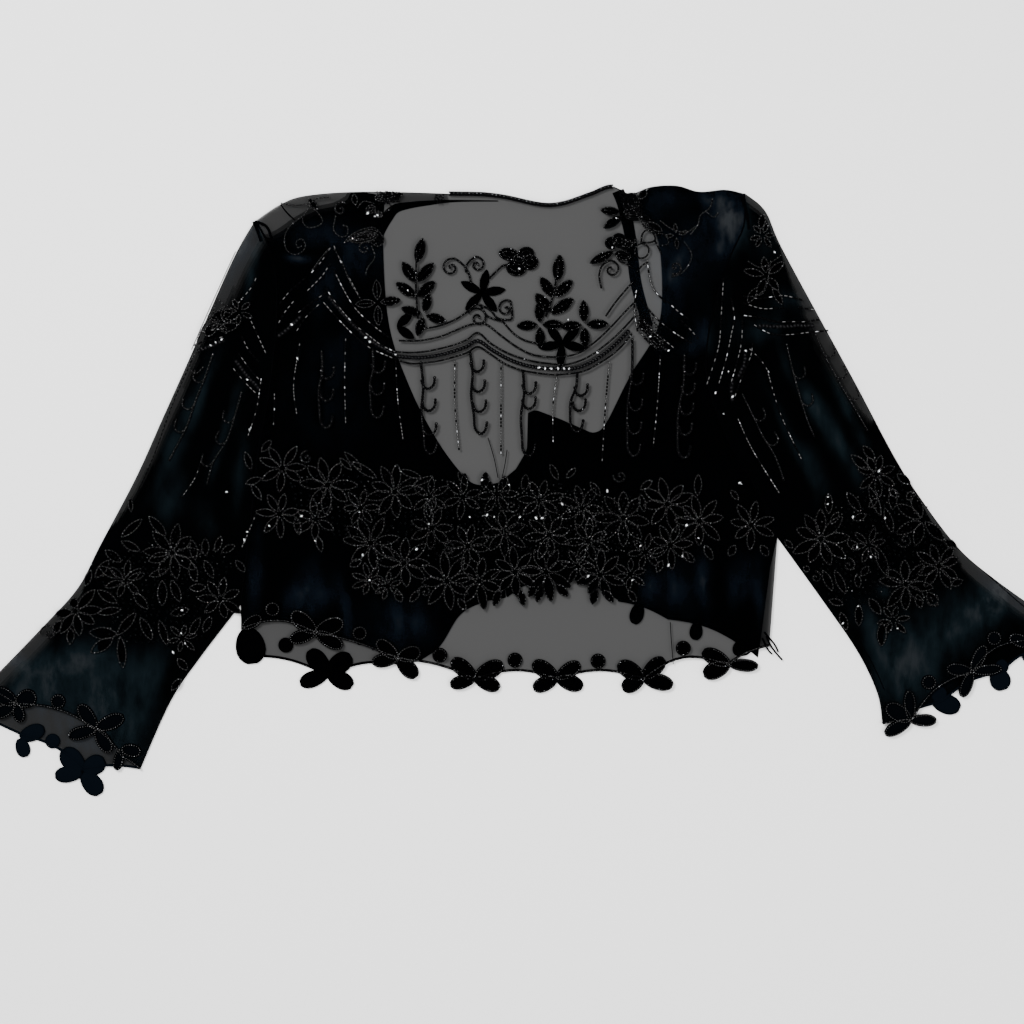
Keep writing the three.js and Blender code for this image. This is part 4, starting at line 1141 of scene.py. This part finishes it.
for x, y, *leaf in [
    (613, 252, 207, 26, 9), (620, 213, 172, 20, 9), (622, 217, 212, 22, 9), (623, 213, 22, 18, 7),
    (631, 247, 60, 10, 4),
]:
    addLeaf(fromPlan((x, y)), *leaf, vein=True)

# Spirals as x, y, radius, turns, angle at the outside, way around, and the tail
spirals = [
    (451, 268, 9, 1.5, 80, -1, [(455, 259), (462, 264), (468, 272), (471, 283)]),
    (477, 265, 8, 1.4, 100, 1, [(470, 261), (466, 267), (466, 272)]),
    (506, 309, 9, 1.3, 60, -1, [(512, 318), (505, 320), (497, 318), (490, 310), (480, 305)]),
    (478, 318, 10.5, 1.6, 150, 1, []),
    (611, 270, 9, 1.3, 100, 1, [(602, 266), (599, 276), (601, 288)]),
    (341, 210, 7.5, 1.3, 60, -1, []), (365, 249, 7, 1.3, 60, -1, []),
    (675, 268, 7, 1.3, 250, -1, []),
    (307, 458, 7, 1.4, 90, -1, []), (448, 549, 7, 1.4, 90, 1, []), (425, 592, 7, 1.3, 180, 1, []),
    (620, 476, 7, 1.3, 180, -1, []), (512, 506, 7, 1.4, 0, 1, []), (50, 633, 9, 1.4, 180, 1, []),
    (848, 565, 7, 1.4, 90, 1, []), (904, 540, 8, 1.4, 200, -1, []), (930, 600, 7, 1.3, 40, 1, []),
    (815, 577, 6, 1.3, 90, 1, []),
]
for spiral in spirals:
    addSpiral(*spiral)

# Small sprays on the shoulders and the sleeve heads
for flower in [
    (762, 236, 6, 15, 10), (766, 276, 5, 22, 30), (676, 236, 4, 13, 12), (240, 312, 5, 16, 40),
    (222, 322, 5, 13, 10),
]:
    addFlower(*flower)
sprayLines = [
    [(282, 204), (296, 206), (310, 204), (318, 199), (330, 198)],
    [(310, 206), (305, 215), (296, 222), (288, 230), (285, 240), (287, 250), (294, 255), (302, 253),
     (306, 247), (303, 240), (297, 242), (298, 248), (302, 247)],
    [(310, 207), (303, 220), (308, 228), (318, 227), (323, 221), (316, 211), (310, 208)],
    [(336, 217), (334, 230), (340, 237), (347, 236), (348, 228), (344, 226)],
    [(345, 243), (352, 235), (366, 229), (376, 229), (384, 240), (378, 247), (366, 240), (354, 240),
     (345, 243)],
    [(372, 247), (375, 258), (368, 268), (366, 275)],
    [(335, 250), (342, 262), (348, 277), (353, 287), (360, 298)], [(313, 270), (323, 257), (329, 250)],
    [(358, 208), (364, 202), (374, 204)], [(384, 200), (392, 208), (382, 214)],
    [(690, 235), (697, 226), (700, 216), (709, 209), (712, 200)], [(705, 212), (713, 218), (717, 214)],
    [(660, 222), (672, 230), (686, 233), (694, 228)],
    [(684, 243), (691, 254), (689, 264), (681, 274), (672, 277)],
    [(662, 246), (668, 244), (666, 236), (658, 234)],
    [(748, 262), (760, 268), (772, 262), (780, 256)], [(770, 262), (764, 292), (750, 297)],
    [(228, 306), (214, 314), (204, 327), (198, 342), (204, 350)],
    [(198, 352), (190, 364), (196, 374), (204, 368)],
    [(214, 312), (218, 300), (226, 308)], [(204, 330), (214, 326), (226, 324), (238, 318)],
]
for points in sprayLines:
    addSeeds(planLine(points))
for x, y, length, width, angle in [
    (318, 210, 14, 7, 130), (356, 206, 14, 7, 100), (388, 200, 16, 7, 20), (760, 230, 16, 8, 80),
    (776, 240, 16, 8, 40), (774, 250, 16, 8, 10), (772, 288, 20, 8, 300), (756, 288, 18, 8, 240),
    (662, 232, 18, 8, 150), (786, 268, 14, 7, 20), (378, 232, 16, 8, 190), (640, 200, 14, 8, 60),
]:
    addLeaf(fromPlan((x, y)), angle, length, width)

# Areas filled with beads, on a jittered grid inside an outline on the plan, with its spacing and the
# share of beads that get a painted highlight
fillings = [
    ([(618, 189), (641, 195), (642, 219), (628, 221), (622, 206)], 1.8, 0.06),
    ([(640, 212), (652, 220), (659, 237), (651, 232), (642, 226)], 1.8, 0.06),
    ([(634, 306), (648, 312), (660, 328), (668, 346), (655, 352), (640, 334)], 2.6, 0.2),
    ([(434, 194), (444, 194), (442, 203), (436, 203)], 1.8, 0.0),
    ([(376, 192), (399, 192), (400, 202), (380, 206)], 1.9, 0.15),
    ([(344, 244), (352, 236), (366, 229), (378, 230), (385, 240), (380, 248), (370, 242), (358, 240)],
     2.2, 0.2),
    ([(470, 496), (560, 484), (640, 500), (640, 552), (560, 560), (480, 548)], 4.4, 0.3),
    ([(285, 470), (460, 480), (470, 560), (380, 560), (300, 520)], 6.0, 0.2),
    ([(100, 560), (180, 530), (236, 560), (200, 640), (110, 640)], 6.0, 0.15),
    ([(810, 520), (900, 470), (960, 560), (900, 610), (830, 600)], 6.0, 0.15),
]
jitter, fillRadius, fillLift = 0.35, 1.0, 1.1
for outline, spacing, share in fillings:
    edge = fromPlan(outline)
    low, high = edge.min(axis=0), edge.max(axis=0)
    x, y = np.meshgrid(np.arange(low[0], high[0], spacing), np.arange(low[1], high[1], spacing))
    spots = np.column_stack([x.ravel(), y.ravel()])
    spots = spots[isInside(spots, edge)]
    spots = spots + rng.uniform(-jitter, jitter, spots.shape) * spacing
    seeds.append(columnsOf(spots, fillRadius, fillLift, rng.random(len(spots)) < share))

for line in scallops["seeds"]:
    addSeeds(planLine(line), beading["scallopRadius"])
for line in scallops["bugles"]:
    addBugles(planLine(line))
for line in scallops["sequins"]:
    addSequinRow(planLine(line))
for strand in curlStrands:
    addCurlStrand(*strand)
for strand in bugleStrands:
    addBugles(planLine(np.reshape(strand, (3, 2))), beading["shortBugle"], beading["thinBugle"])
for strand in sleeveCurls:
    addSleeveCurl(*strand)
for flower in bandFlowers:
    addFlower(*flower)
for x1, y1, x2, y2, width in bandLeaves:
    angle = math.degrees(math.atan2(y1 - y2, x2 - x1))
    addLeaf(fromPlan((x1, y1)), angle, math.hypot(x2 - x1, y2 - y1), width)

print("trimming")
# Groups on the plan: x and y of the middle, then the tips of its leaves, each with its width
trims = {
    "backHem": {
        "fullness": 1.2,
        "groups": [
            (316, 632, [(292, 612, 15), (290, 640, 12), (344, 621, 15), (343, 647, 13)]),
            (398, 658, [(377, 640, 13), (372, 662, 12), (421, 650, 14), (417, 677, 14)]),
            (475, 678, [(452, 659, 14), (450, 685, 12), (503, 663, 15), (500, 688, 13)]),
            (557, 678, [(533, 662, 14), (533, 689, 13), (580, 663, 13), (583, 687, 14)]),
            (643, 678, [(618, 663, 15), (622, 689, 14), (664, 658, 14), (673, 685, 14)]),
            (729, 664, [(702, 651, 14), (703, 675, 15), (758, 666, 11)]),
            (243, 628, [(262, 616, 11)]),
        ],
        "dots": [(273, 609), (360, 633), (440, 655), (515, 660), (598, 661), (683, 648)],
        "edge": hems["back"],
    },
    "leftCuff": {
        "fullness": 1.0,
        "groups": [
            (17, 703, [(37, 694, 19), (22, 722, 13), (-6, 690, 18), (-4, 716, 14)]),
            (97, 728, [(80, 704, 15), (69, 736, 14), (125, 716, 16), (111, 752, 15)]),
            (122, 748, [(142, 752, 14), (117, 770, 11)]),
        ],
        "dots": [(59, 701)],
        "edge": hems["leftCuff"],
    },
    "rightCuff": {
        "fullness": 1.0,
        "groups": [
            (910, 720, [(885, 705, 18), (884, 734, 14), (908, 690, 13), (936, 720, 13)]),
            (971, 671, [(945, 668, 14), (961, 697, 13), (984, 645, 14), (1001, 668, 12)]),
            (1030, 645, [(1008, 636, 14), (1040, 660, 12)]),
        ],
        "dots": [(928, 682), (993, 638)],
        "edge": hems["rightCuff"],
    },
    "leftFront": {
        "fullness": 1.2,
        "groups": [
            (247, 628, [(254, 664, 25)]), (244, 640, [(264, 650, 14)]),
            (328, 673, [(309, 650, 16), (300, 684, 14), (351, 655, 17), (353, 686, 15)]),
        ],
        "dots": [(286, 645)],
        "edge": hems["leftFront"],
    },
    "rightFront": {
        "fullness": 1.0,
        "groups": [(640, 603, [(634, 624, 14)]), (697, 622, [(695, 640, 13)]), (740, 640, [(744, 656, 20)])],
        "dots": [],
        "edge": hems["rightFront"],
    },
    "leftCuffUnder": {
        "fullness": 1.05,
        "groups": [
            (20, 738, [(45, 728, 16), (26, 757, 14)]),
            (83, 772, [(63, 749, 21), (55, 776, 16), (105, 759, 19), (101, 794, 19)]),
        ],
        "dots": [(53, 741)],
        "edge": hems["leftCuffUnder"],
    },
    "rightCuffUnder": {
        "fullness": 1.0,
        "groups": [
            (932, 700, [(960, 708, 20), (945, 688, 16)]),
            (995, 668, [(1004, 690, 21), (1008, 664, 14)]), (1022, 655, [(1040, 664, 12)]),
        ],
        "dots": [],
        "edge": hems["rightCuffUnder"][:-1],
    },
}

trimStyle = {
    "height": 1.3, "dotRadius": 7.6,
    "underLevel": heights["seam"] + 0.1, "upperLift": 0.15,  # where the leaves lie
    # of the beads on the leaves
    "insets": (2.6, 3.0), "radius": 1.1, "pitch": 2.4, "lift": 0.6, "dimmer": 0.9,
    "cordRadius": 1.3, "cordLift": 0.4,
    "cordBead": 0.75, "cordPitch": 1.7, "cordBeadLift": 1.2,
}


# The leaves of a trim and the cord that joins them; on the upper layers both are beaded
def makeTrim(name, node, trim, upper, look):
    shapes = []
    for x, y, leaves in trim["groups"]:
        root = fromPlan((x, y))
        for tipX, tipY, width in leaves:
            reach = fromPlan((tipX, tipY)) - root
            length = np.linalg.norm(reach)
            shapes.append(("round", root, reach / length, length, width * trim["fullness"]))
    radius = trimStyle["dotRadius"]
    for dot in trim["dots"]:
        shapes.append(("dot", fromPlan(dot) - [radius, 0], np.array([1.0, 0]), 2 * radius, 2 * radius))
    solids = []
    for kind, root, along, length, width in shapes:
        level = trimStyle["underLevel"]
        if upper:
            level = clothTop(*(root + along * length / 2)) + trimStyle["upperLift"]
        size = np.array([[length, width, trimStyle["height"]]])
        solids.append(copies(padShape(kind, 20), np.array([[*root, level]]), axesAlong(along[None]), size))
        if upper:
            line = leafLine(kind, root, along, length, width, trimStyle["insets"], 48)
            addSeeds(
                line, trimStyle["radius"], trimStyle["pitch"], trimStyle["lift"], closed=True,
                dimmer=trimStyle["dimmer"],
            )
    line = hemLine(trim["edge"])
    level = clothTop(*line.T) if upper else trimStyle["underLevel"]
    solids.append(tube(columnsOf(line, level + trimStyle["cordLift"]), trimStyle["cordRadius"]))
    if upper:
        addSeeds(line, trimStyle["cordBead"], trimStyle["cordPitch"], trimStyle["cordBeadLift"])
    makePiece(name, *joinShapes(solids), look, "leaf_trim", [node])


makeTrim("leafTrimBack", "trim_back_hem", trims["backHem"], True, "stitch")
makeTrim("leafTrimCuffLeft", "trim_cuff_left_upper", trims["leftCuff"], True, "leafDark")
makeTrim("leafTrimCuffRight", "trim_cuff_right_upper", trims["rightCuff"], True, "leafDark")
makeTrim("leafTrimFrontLeft", "trim_front_left", trims["leftFront"], False, "stitch")
makeTrim("leafTrimFrontRight", "trim_front_right", trims["rightFront"], False, "stitch")
makeTrim("leafTrimCuffLeftUnder", "trim_cuff_left_under", trims["leftCuffUnder"], False, "leafPlain")
makeTrim("leafTrimCuffRightUnder", "trim_cuff_right_under", trims["rightCuffUnder"], False, "leafPlain")

# Beaded binding of the back neck: a cord with two rows of beads on it
binding = {
    "from": 24, "to": 49,  # its stretch of the shoulder line
    "level": heights["seam"] + 1.0, "radius": 1.7, "raised": 1.5,  # of the cord, which stands off the edge
    "beadRadius": 1.3, "beadPitch": 1.9, "rows": (-1.3, 1.3), "rowRise": 1.0,
    "glintSize": [0.5, 0.5, 0.35], "glintPitch": 3.8, "glintAside": 0.6, "glintRise": 1.9, "glintShare": 0.3,
}


def makeBinding():
    line = shoulders[binding["from"] : binding["to"]].copy()
    steps = np.arange(len(line))
    fromEnd = np.minimum(steps, steps[::-1])
    line[:, 1] += binding["raised"] * np.clip(fromEnd / 4, 0, 1)
    shapes = [tube(columnsOf(line, binding["level"]), binding["radius"], 8)]
    for row in binding["rows"]:
        centres, directions = stepsAlong(line + [0, row], binding["beadPitch"])
        centres = columnsOf(centres, binding["level"] + binding["rowRise"])
        size = np.full(centres.shape, binding["beadRadius"])
        shapes.append(copies(beadShape(), centres, axesAlong(directions), size))
    # Painted highlights along the binding: small solids in a bright finish over the beads
    centres, directions = stepsAlong(line + [0, binding["glintAside"]], binding["glintPitch"])
    count = len(centres)
    size = np.array(binding["glintSize"]) * rng.uniform(0.7, 1.2, (count, 1))
    centres = columnsOf(centres, binding["level"] + binding["glintRise"])
    shapes.append(copies(glintShape(), centres, axesAlong(directions), size))
    points, faces = joinShapes(shapes)
    glints = np.repeat(1 + (rng.random(count) < binding["glintShare"]), 8)
    faceLooks = np.concatenate([np.zeros(len(faces) - len(glints), int), glints])
    makePiece(
        "neckBindingBeads", points, faces, ["bead", "beadShine", "beadGlint"], "beads", ["neck_binding"],
        faceLooks=faceLooks,
    )


makeBinding()

threads = {
    "edgeRadius": 0.45, "lift": 0.1,
    "folds": [  # rolled edges with their levels: along the shoulders, and along the folds of the sleeves
        (shoulders[6:26] - [0, 0.6], seamTop), (shoulders[48:] - [0, 0.6], seamTop),
        (leftEdges["left"] + [0.5, 0], heights["fold"]), (rightEdges["right"] - [0.5, 0], heights["fold"]),
    ],
    "darts": [
        [(670, 622), (671, 640), (673, 664)], [(858, 640), (872, 664), (884, 690)],
        [(488, 438), (494, 458), (498, 478)], [(507, 450), (505, 464), (502, 478)],
        [(984, 572), (1004, 590), (1024, 607)], [(236, 252), (214, 300), (192, 350)],
    ],
    # at the corner of the back's hem
    "looseEnds": [
        [(766, 636), (772, 648), (782, 660)], [(764, 632), (774, 644), (778, 652)],
        [(762, 638), (768, 650), (772, 654)],
    ],
    "looseRadius": 1.0, "looseLevel": 2.0,
    "clear": 0.4,  # no thread on the cloth comes nearer to the surface
    # pinched dark at the sleeve heads, each with its radius
    "tucks": [
        ([(254, 222), (258, 231), (262, 242)], 1.8), ([(256, 222), (267, 227), (272, 240)], 1.4),
        ([(742, 197), (745, 212), (748, 230)], 2.6), ([(281, 205), (288, 214), (297, 222)], 0.7),
    ],
    "tuckRise": 0.5,  # of a tuck's top over the cloth
    # over the join of the sleeves and the back, and down the sides where they meet
    "armholes": [leftSide - seamGap / 2, rightSide + seamGap / 2], "armholeRadius": 0.9, "armholeLift": -0.3,
    "dashes": [(192, 362), (180, 388), (168, 418), (156, 452), (141, 486)],
    "dashPitch": 4.4, "dashSize": [3.2, 0.55, 0.45], "dashLift": 0.2,
}


def makeThreads():
    shapes = []

    # a thread on the cloth, or at a level of its own
    def addThread(line, radius, pitch=4, sides=5, lift=threads["lift"], level=None):
        steps, _ = stepsAlong(line, pitch)
        z = np.maximum(clothTop(*steps.T) + lift, radius + threads["clear"]) if level is None else level
        shapes.append(tube(columnsOf(steps, z), radius, sides))

    for line, level in threads["folds"]:
        addThread(line, threads["edgeRadius"], level=level + threads["lift"])
    for line in threads["darts"]:
        addThread(planLine(line), threads["edgeRadius"])
    for line in threads["looseEnds"]:
        addThread(planLine(line), threads["looseRadius"], pitch=2, level=threads["looseLevel"])
    for line, radius in threads["tucks"]:
        addThread(planLine(line), radius, pitch=3, sides=7, lift=threads["tuckRise"] - radius)
    for line in threads["armholes"]:
        addThread(line, threads["armholeRadius"], sides=6, lift=threads["armholeLift"])
    dashes, directions = stepsAlong(planLine(threads["dashes"]), threads["dashPitch"])
    centres = columnsOf(dashes, clothTop(*dashes.T) + threads["dashLift"])
    sizes = np.tile(threads["dashSize"], (len(dashes), 1))
    shapes.append(copies(bugleShape(), centres, axesAlong(directions), sizes))
    makePiece("seamThreads", *joinShapes(shapes), "thread", "net")


makeThreads()

print("beads")
seedRows, bugleRows, sequinRows = (np.concatenate(rows) for rows in (seeds, bugles, sequins))
sewnTo = {
    "bandTop": 48,  # the back's flower band begins below here
    "hemLevel": -160, "hemReach": 60, "hemHalf": 290,  # what lies past its hem, within these, belongs to it
    "leftCuff": (-290, -120), "rightCuff": (330, -100),  # so does what is past a cuff, beyond and below these
}


# The panel that each point is sewn to, or none
def panelsOf(points):
    x, y = points.T
    panel = np.full(len(points), "", dtype=object)
    for name, outline in (("Back", backOutline), ("SleeveLeft", leftOutline), ("SleeveRight", rightOutline)):
        panel[isInside(points, outline)] = name
    (leftX, leftY), (rightX, rightY) = sewnTo["leftCuff"], sewnTo["rightCuff"]
    for name, near in [
        ("Back", (np.abs(y - sewnTo["hemLevel"]) < sewnTo["hemReach"]) & (np.abs(x) < sewnTo["hemHalf"])),
        ("SleeveLeft", (y < leftY) & (x < leftX)), ("SleeveRight", (y < rightY) & (x > rightX)),
    ]:
        panel[(panel == "") & near] = name
    lower = (panel == "Back") & (y < sewnTo["bandTop"])
    panel[lower & (x < 0)] = "BandLeft"
    panel[lower & (x >= 0)] = "BandRight"
    return panel


# Beads are dark, with a painted highlight on top: a small solid in a bright finish, brighter on a few
beadStyle = {
    "vary": (0.92, 1.1), "tilt": (-0.5, 0.5),
    "glint": np.array([0.45, 0.45, 0.3]), "glintVary": (0.75, 1.25),
    "glintHeight": 0.85,  # over the middle of a bead, as a share of its radius
    "bright": 0.06,  # share of the glints that are bright
    "unlit": 0.55, "unlitHalf": 200,  # over the ground this share has none, within this far of the middle
}
seedPanels = panelsOf(seedRows[:, :2])
for panel in ("Back", "BandLeft", "BandRight", "SleeveLeft", "SleeveRight"):
    x, y, radius, lift, catch = seedRows[seedPanels == panel].T
    spots, z, count = np.column_stack([x, y]), clothTop(x, y) + lift, len(x)
    sizes = radius[:, None] * rng.uniform(*beadStyle["vary"], (count, 3))
    axes = axesAlong(rng.normal(size=(count, 2)), rng.uniform(*beadStyle["tilt"], count))
    dark = copies(beadShape(), columnsOf(spots, z), axes, sizes)
    overGround = ~(isInside(spots, frontOutlines[0]) | isInside(spots, frontOutlines[1]))
    unlit = overGround & (abs(x) < beadStyle["unlitHalf"]) & (rng.random(count) < beadStyle["unlit"])
    on = (catch > 0) & ~unlit
    sizes = beadStyle["glint"] * rng.uniform(*beadStyle["glintVary"], (on.sum(), 1)) * catch[on, None]
    tops = columnsOf(spots, z + radius * beadStyle["glintHeight"])
    shine = copies(glintShape(), tops[on], axes[on], sizes)
    level = 1 + (rng.random(on.sum()) < beadStyle["bright"])
    print("seed beads", panel, count)
    makePiece(
        "seedBeads" + panel, *joinShapes([dark, shine]), ["bead", "beadShine", "beadGlint"], "beads",
        faceLooks=np.concatenate([np.zeros(count * 20, int), np.repeat(level, 8)]),
    )

# Bugles are dark too; on some a narrower copy in a bright finish lies along the top as a painted highlight
bugleStyle = {
    "flatter": 1.35,  # width over height
    "tilt": (-0.05, 0.05),
    "shining": 0.6, "bright": 0.08,  # shares of them
    "streak": (0.8, 0.5, 0.35), "streakHeight": 0.8,  # on top, as shares of its length and its radius
}
x, y, alongX, alongY, length, radius = bugleRows[panelsOf(bugleRows[:, :2]) != ""].T
z = clothTop(x, y) + radius
axes = axesAlong(np.column_stack([alongX, alongY]), rng.uniform(*bugleStyle["tilt"], len(x)))
sizes = np.column_stack([length, radius * bugleStyle["flatter"], radius])
dark = copies(bugleShape(), np.column_stack([x, y, z]), axes, sizes)
chance = rng.random(len(x))
on = chance < bugleStyle["shining"]
tops = np.column_stack([x, y, z + radius * bugleStyle["streakHeight"]])
sizes = np.column_stack([length, radius, radius]) * bugleStyle["streak"]
shine = copies(bugleShape(), tops[on], axes[on], sizes[on])
level = 1 + (chance[on] < bugleStyle["bright"])
makePiece(
    "bugleBeads", *joinShapes([dark, shine]), ["bead", "bugleShine", "beadGlint"], "beads",
    faceLooks=np.concatenate([np.zeros(len(x) * 20, int), np.repeat(level, 20)]),
)

sequinStyle = {
    "lift": 0.9, "pitch": (0.08, 0.3), "roll": (-0.2, 0.2),
    "litLift": 2.9, "litTilt": (-0.3, 0.3), "litRadius": (0.9, 1.7), "litShape": (1.15, 0.65, 1.0),
}
x, y, alongX, alongY, radius = sequinRows[panelsOf(sequinRows[:, :2]) != ""].T
points, faces = copies(
    sequinShape(), np.column_stack([x, y, clothTop(x, y) + sequinStyle["lift"]]),
    axesAlong(
        np.column_stack([alongX, alongY]), rng.uniform(*sequinStyle["pitch"], len(x)),
        rng.uniform(*sequinStyle["roll"], len(x)),
    ),
    np.column_stack([radius, radius, radius]),
)
makePiece("sequins", points, faces, "sequin", "beads")

# Sequins painted as catching the light: a near-white metallic finish, raised over the rest
x, y = fromPlan(scallops["lit"]).T
radius = rng.uniform(*sequinStyle["litRadius"], len(x))
points, faces = copies(
    sequinShape(), np.column_stack([x, y, clothTop(x, y) + sequinStyle["litLift"]]),
    axesAlong(rng.normal(size=(len(x), 2)), *rng.uniform(*sequinStyle["litTilt"], (2, len(x)))),
    radius[:, None] * sequinStyle["litShape"],
)
makePiece("sequinsLit", points, faces, "sequinLit", "beads")

# Stitched leaves under the beads
stitched = []
for kind in ("almond", "dot"):
    rows = [pad[1:] for pad in pads if pad[0] == kind]
    roots, along, length, width, high = (np.array(values, float) for values in zip(*rows))
    centres = columnsOf(roots, clothTop(*(roots + along * length[:, None] / 2).T) + leafStyle["clothLift"])
    sizes = np.column_stack([length, width, high])
    stitched.append(copies(padShape(kind, 12), centres, axesAlong(along), sizes))
makePiece("stitchedLeaves", *joinShapes(stitched), "stitch", "net")

print("studio")
studio = {
    "floor": 12, "floorLevel": -0.0005, "paper": (0.95, 0.95, 0.95), "white": (1, 1, 1, 1), "world": 1.0,
    # each light with its place, its size and its power
    "lights": [("keyLight", (-0.9, 0.9, 2.2), 0.7, 90), ("fillLight", (1.2, -0.6, 2.4), 1.2, 45)],
    "lens": 85, "sensor": 36, "across": 1.024, "middleY": -0.024,  # the view is this wide at the surface
}
bpy.ops.mesh.primitive_plane_add(size=studio["floor"], location=(0, 0, studio["floorLevel"]))
floor = bpy.context.object
floor.name = "floor"
floor.data.materials.append(makeMaterial("floorPaper", studio["paper"], 0.9, specular=0.1))

world = bpy.data.worlds.new("studioWorld")
bpy.context.scene.world = world
world.use_nodes = True
setInputs(world.node_tree.nodes["Background"], Color=studio["white"], Strength=studio["world"])

# Both lights point at the middle
for name, place, size, power in studio["lights"]:
    light = bpy.data.lights.new(name, "AREA")
    light.size = size
    light.energy = power
    lamp = bpy.data.objects.new(name, light)
    lamp.location = place
    toMiddle = math.atan2(math.hypot(place[0], place[1]), place[2])
    lamp.rotation_euler = (toMiddle, 0, math.atan2(place[0], -place[1]))
    bpy.context.scene.collection.objects.link(lamp)

camera = bpy.data.objects.new("camera", bpy.data.cameras.new("camera"))
camera.data.lens = studio["lens"]
camera.location = (0, studio["middleY"], studio["lens"] * studio["across"] / studio["sensor"])
bpy.context.scene.collection.objects.link(camera)
bpy.context.scene.camera = camera
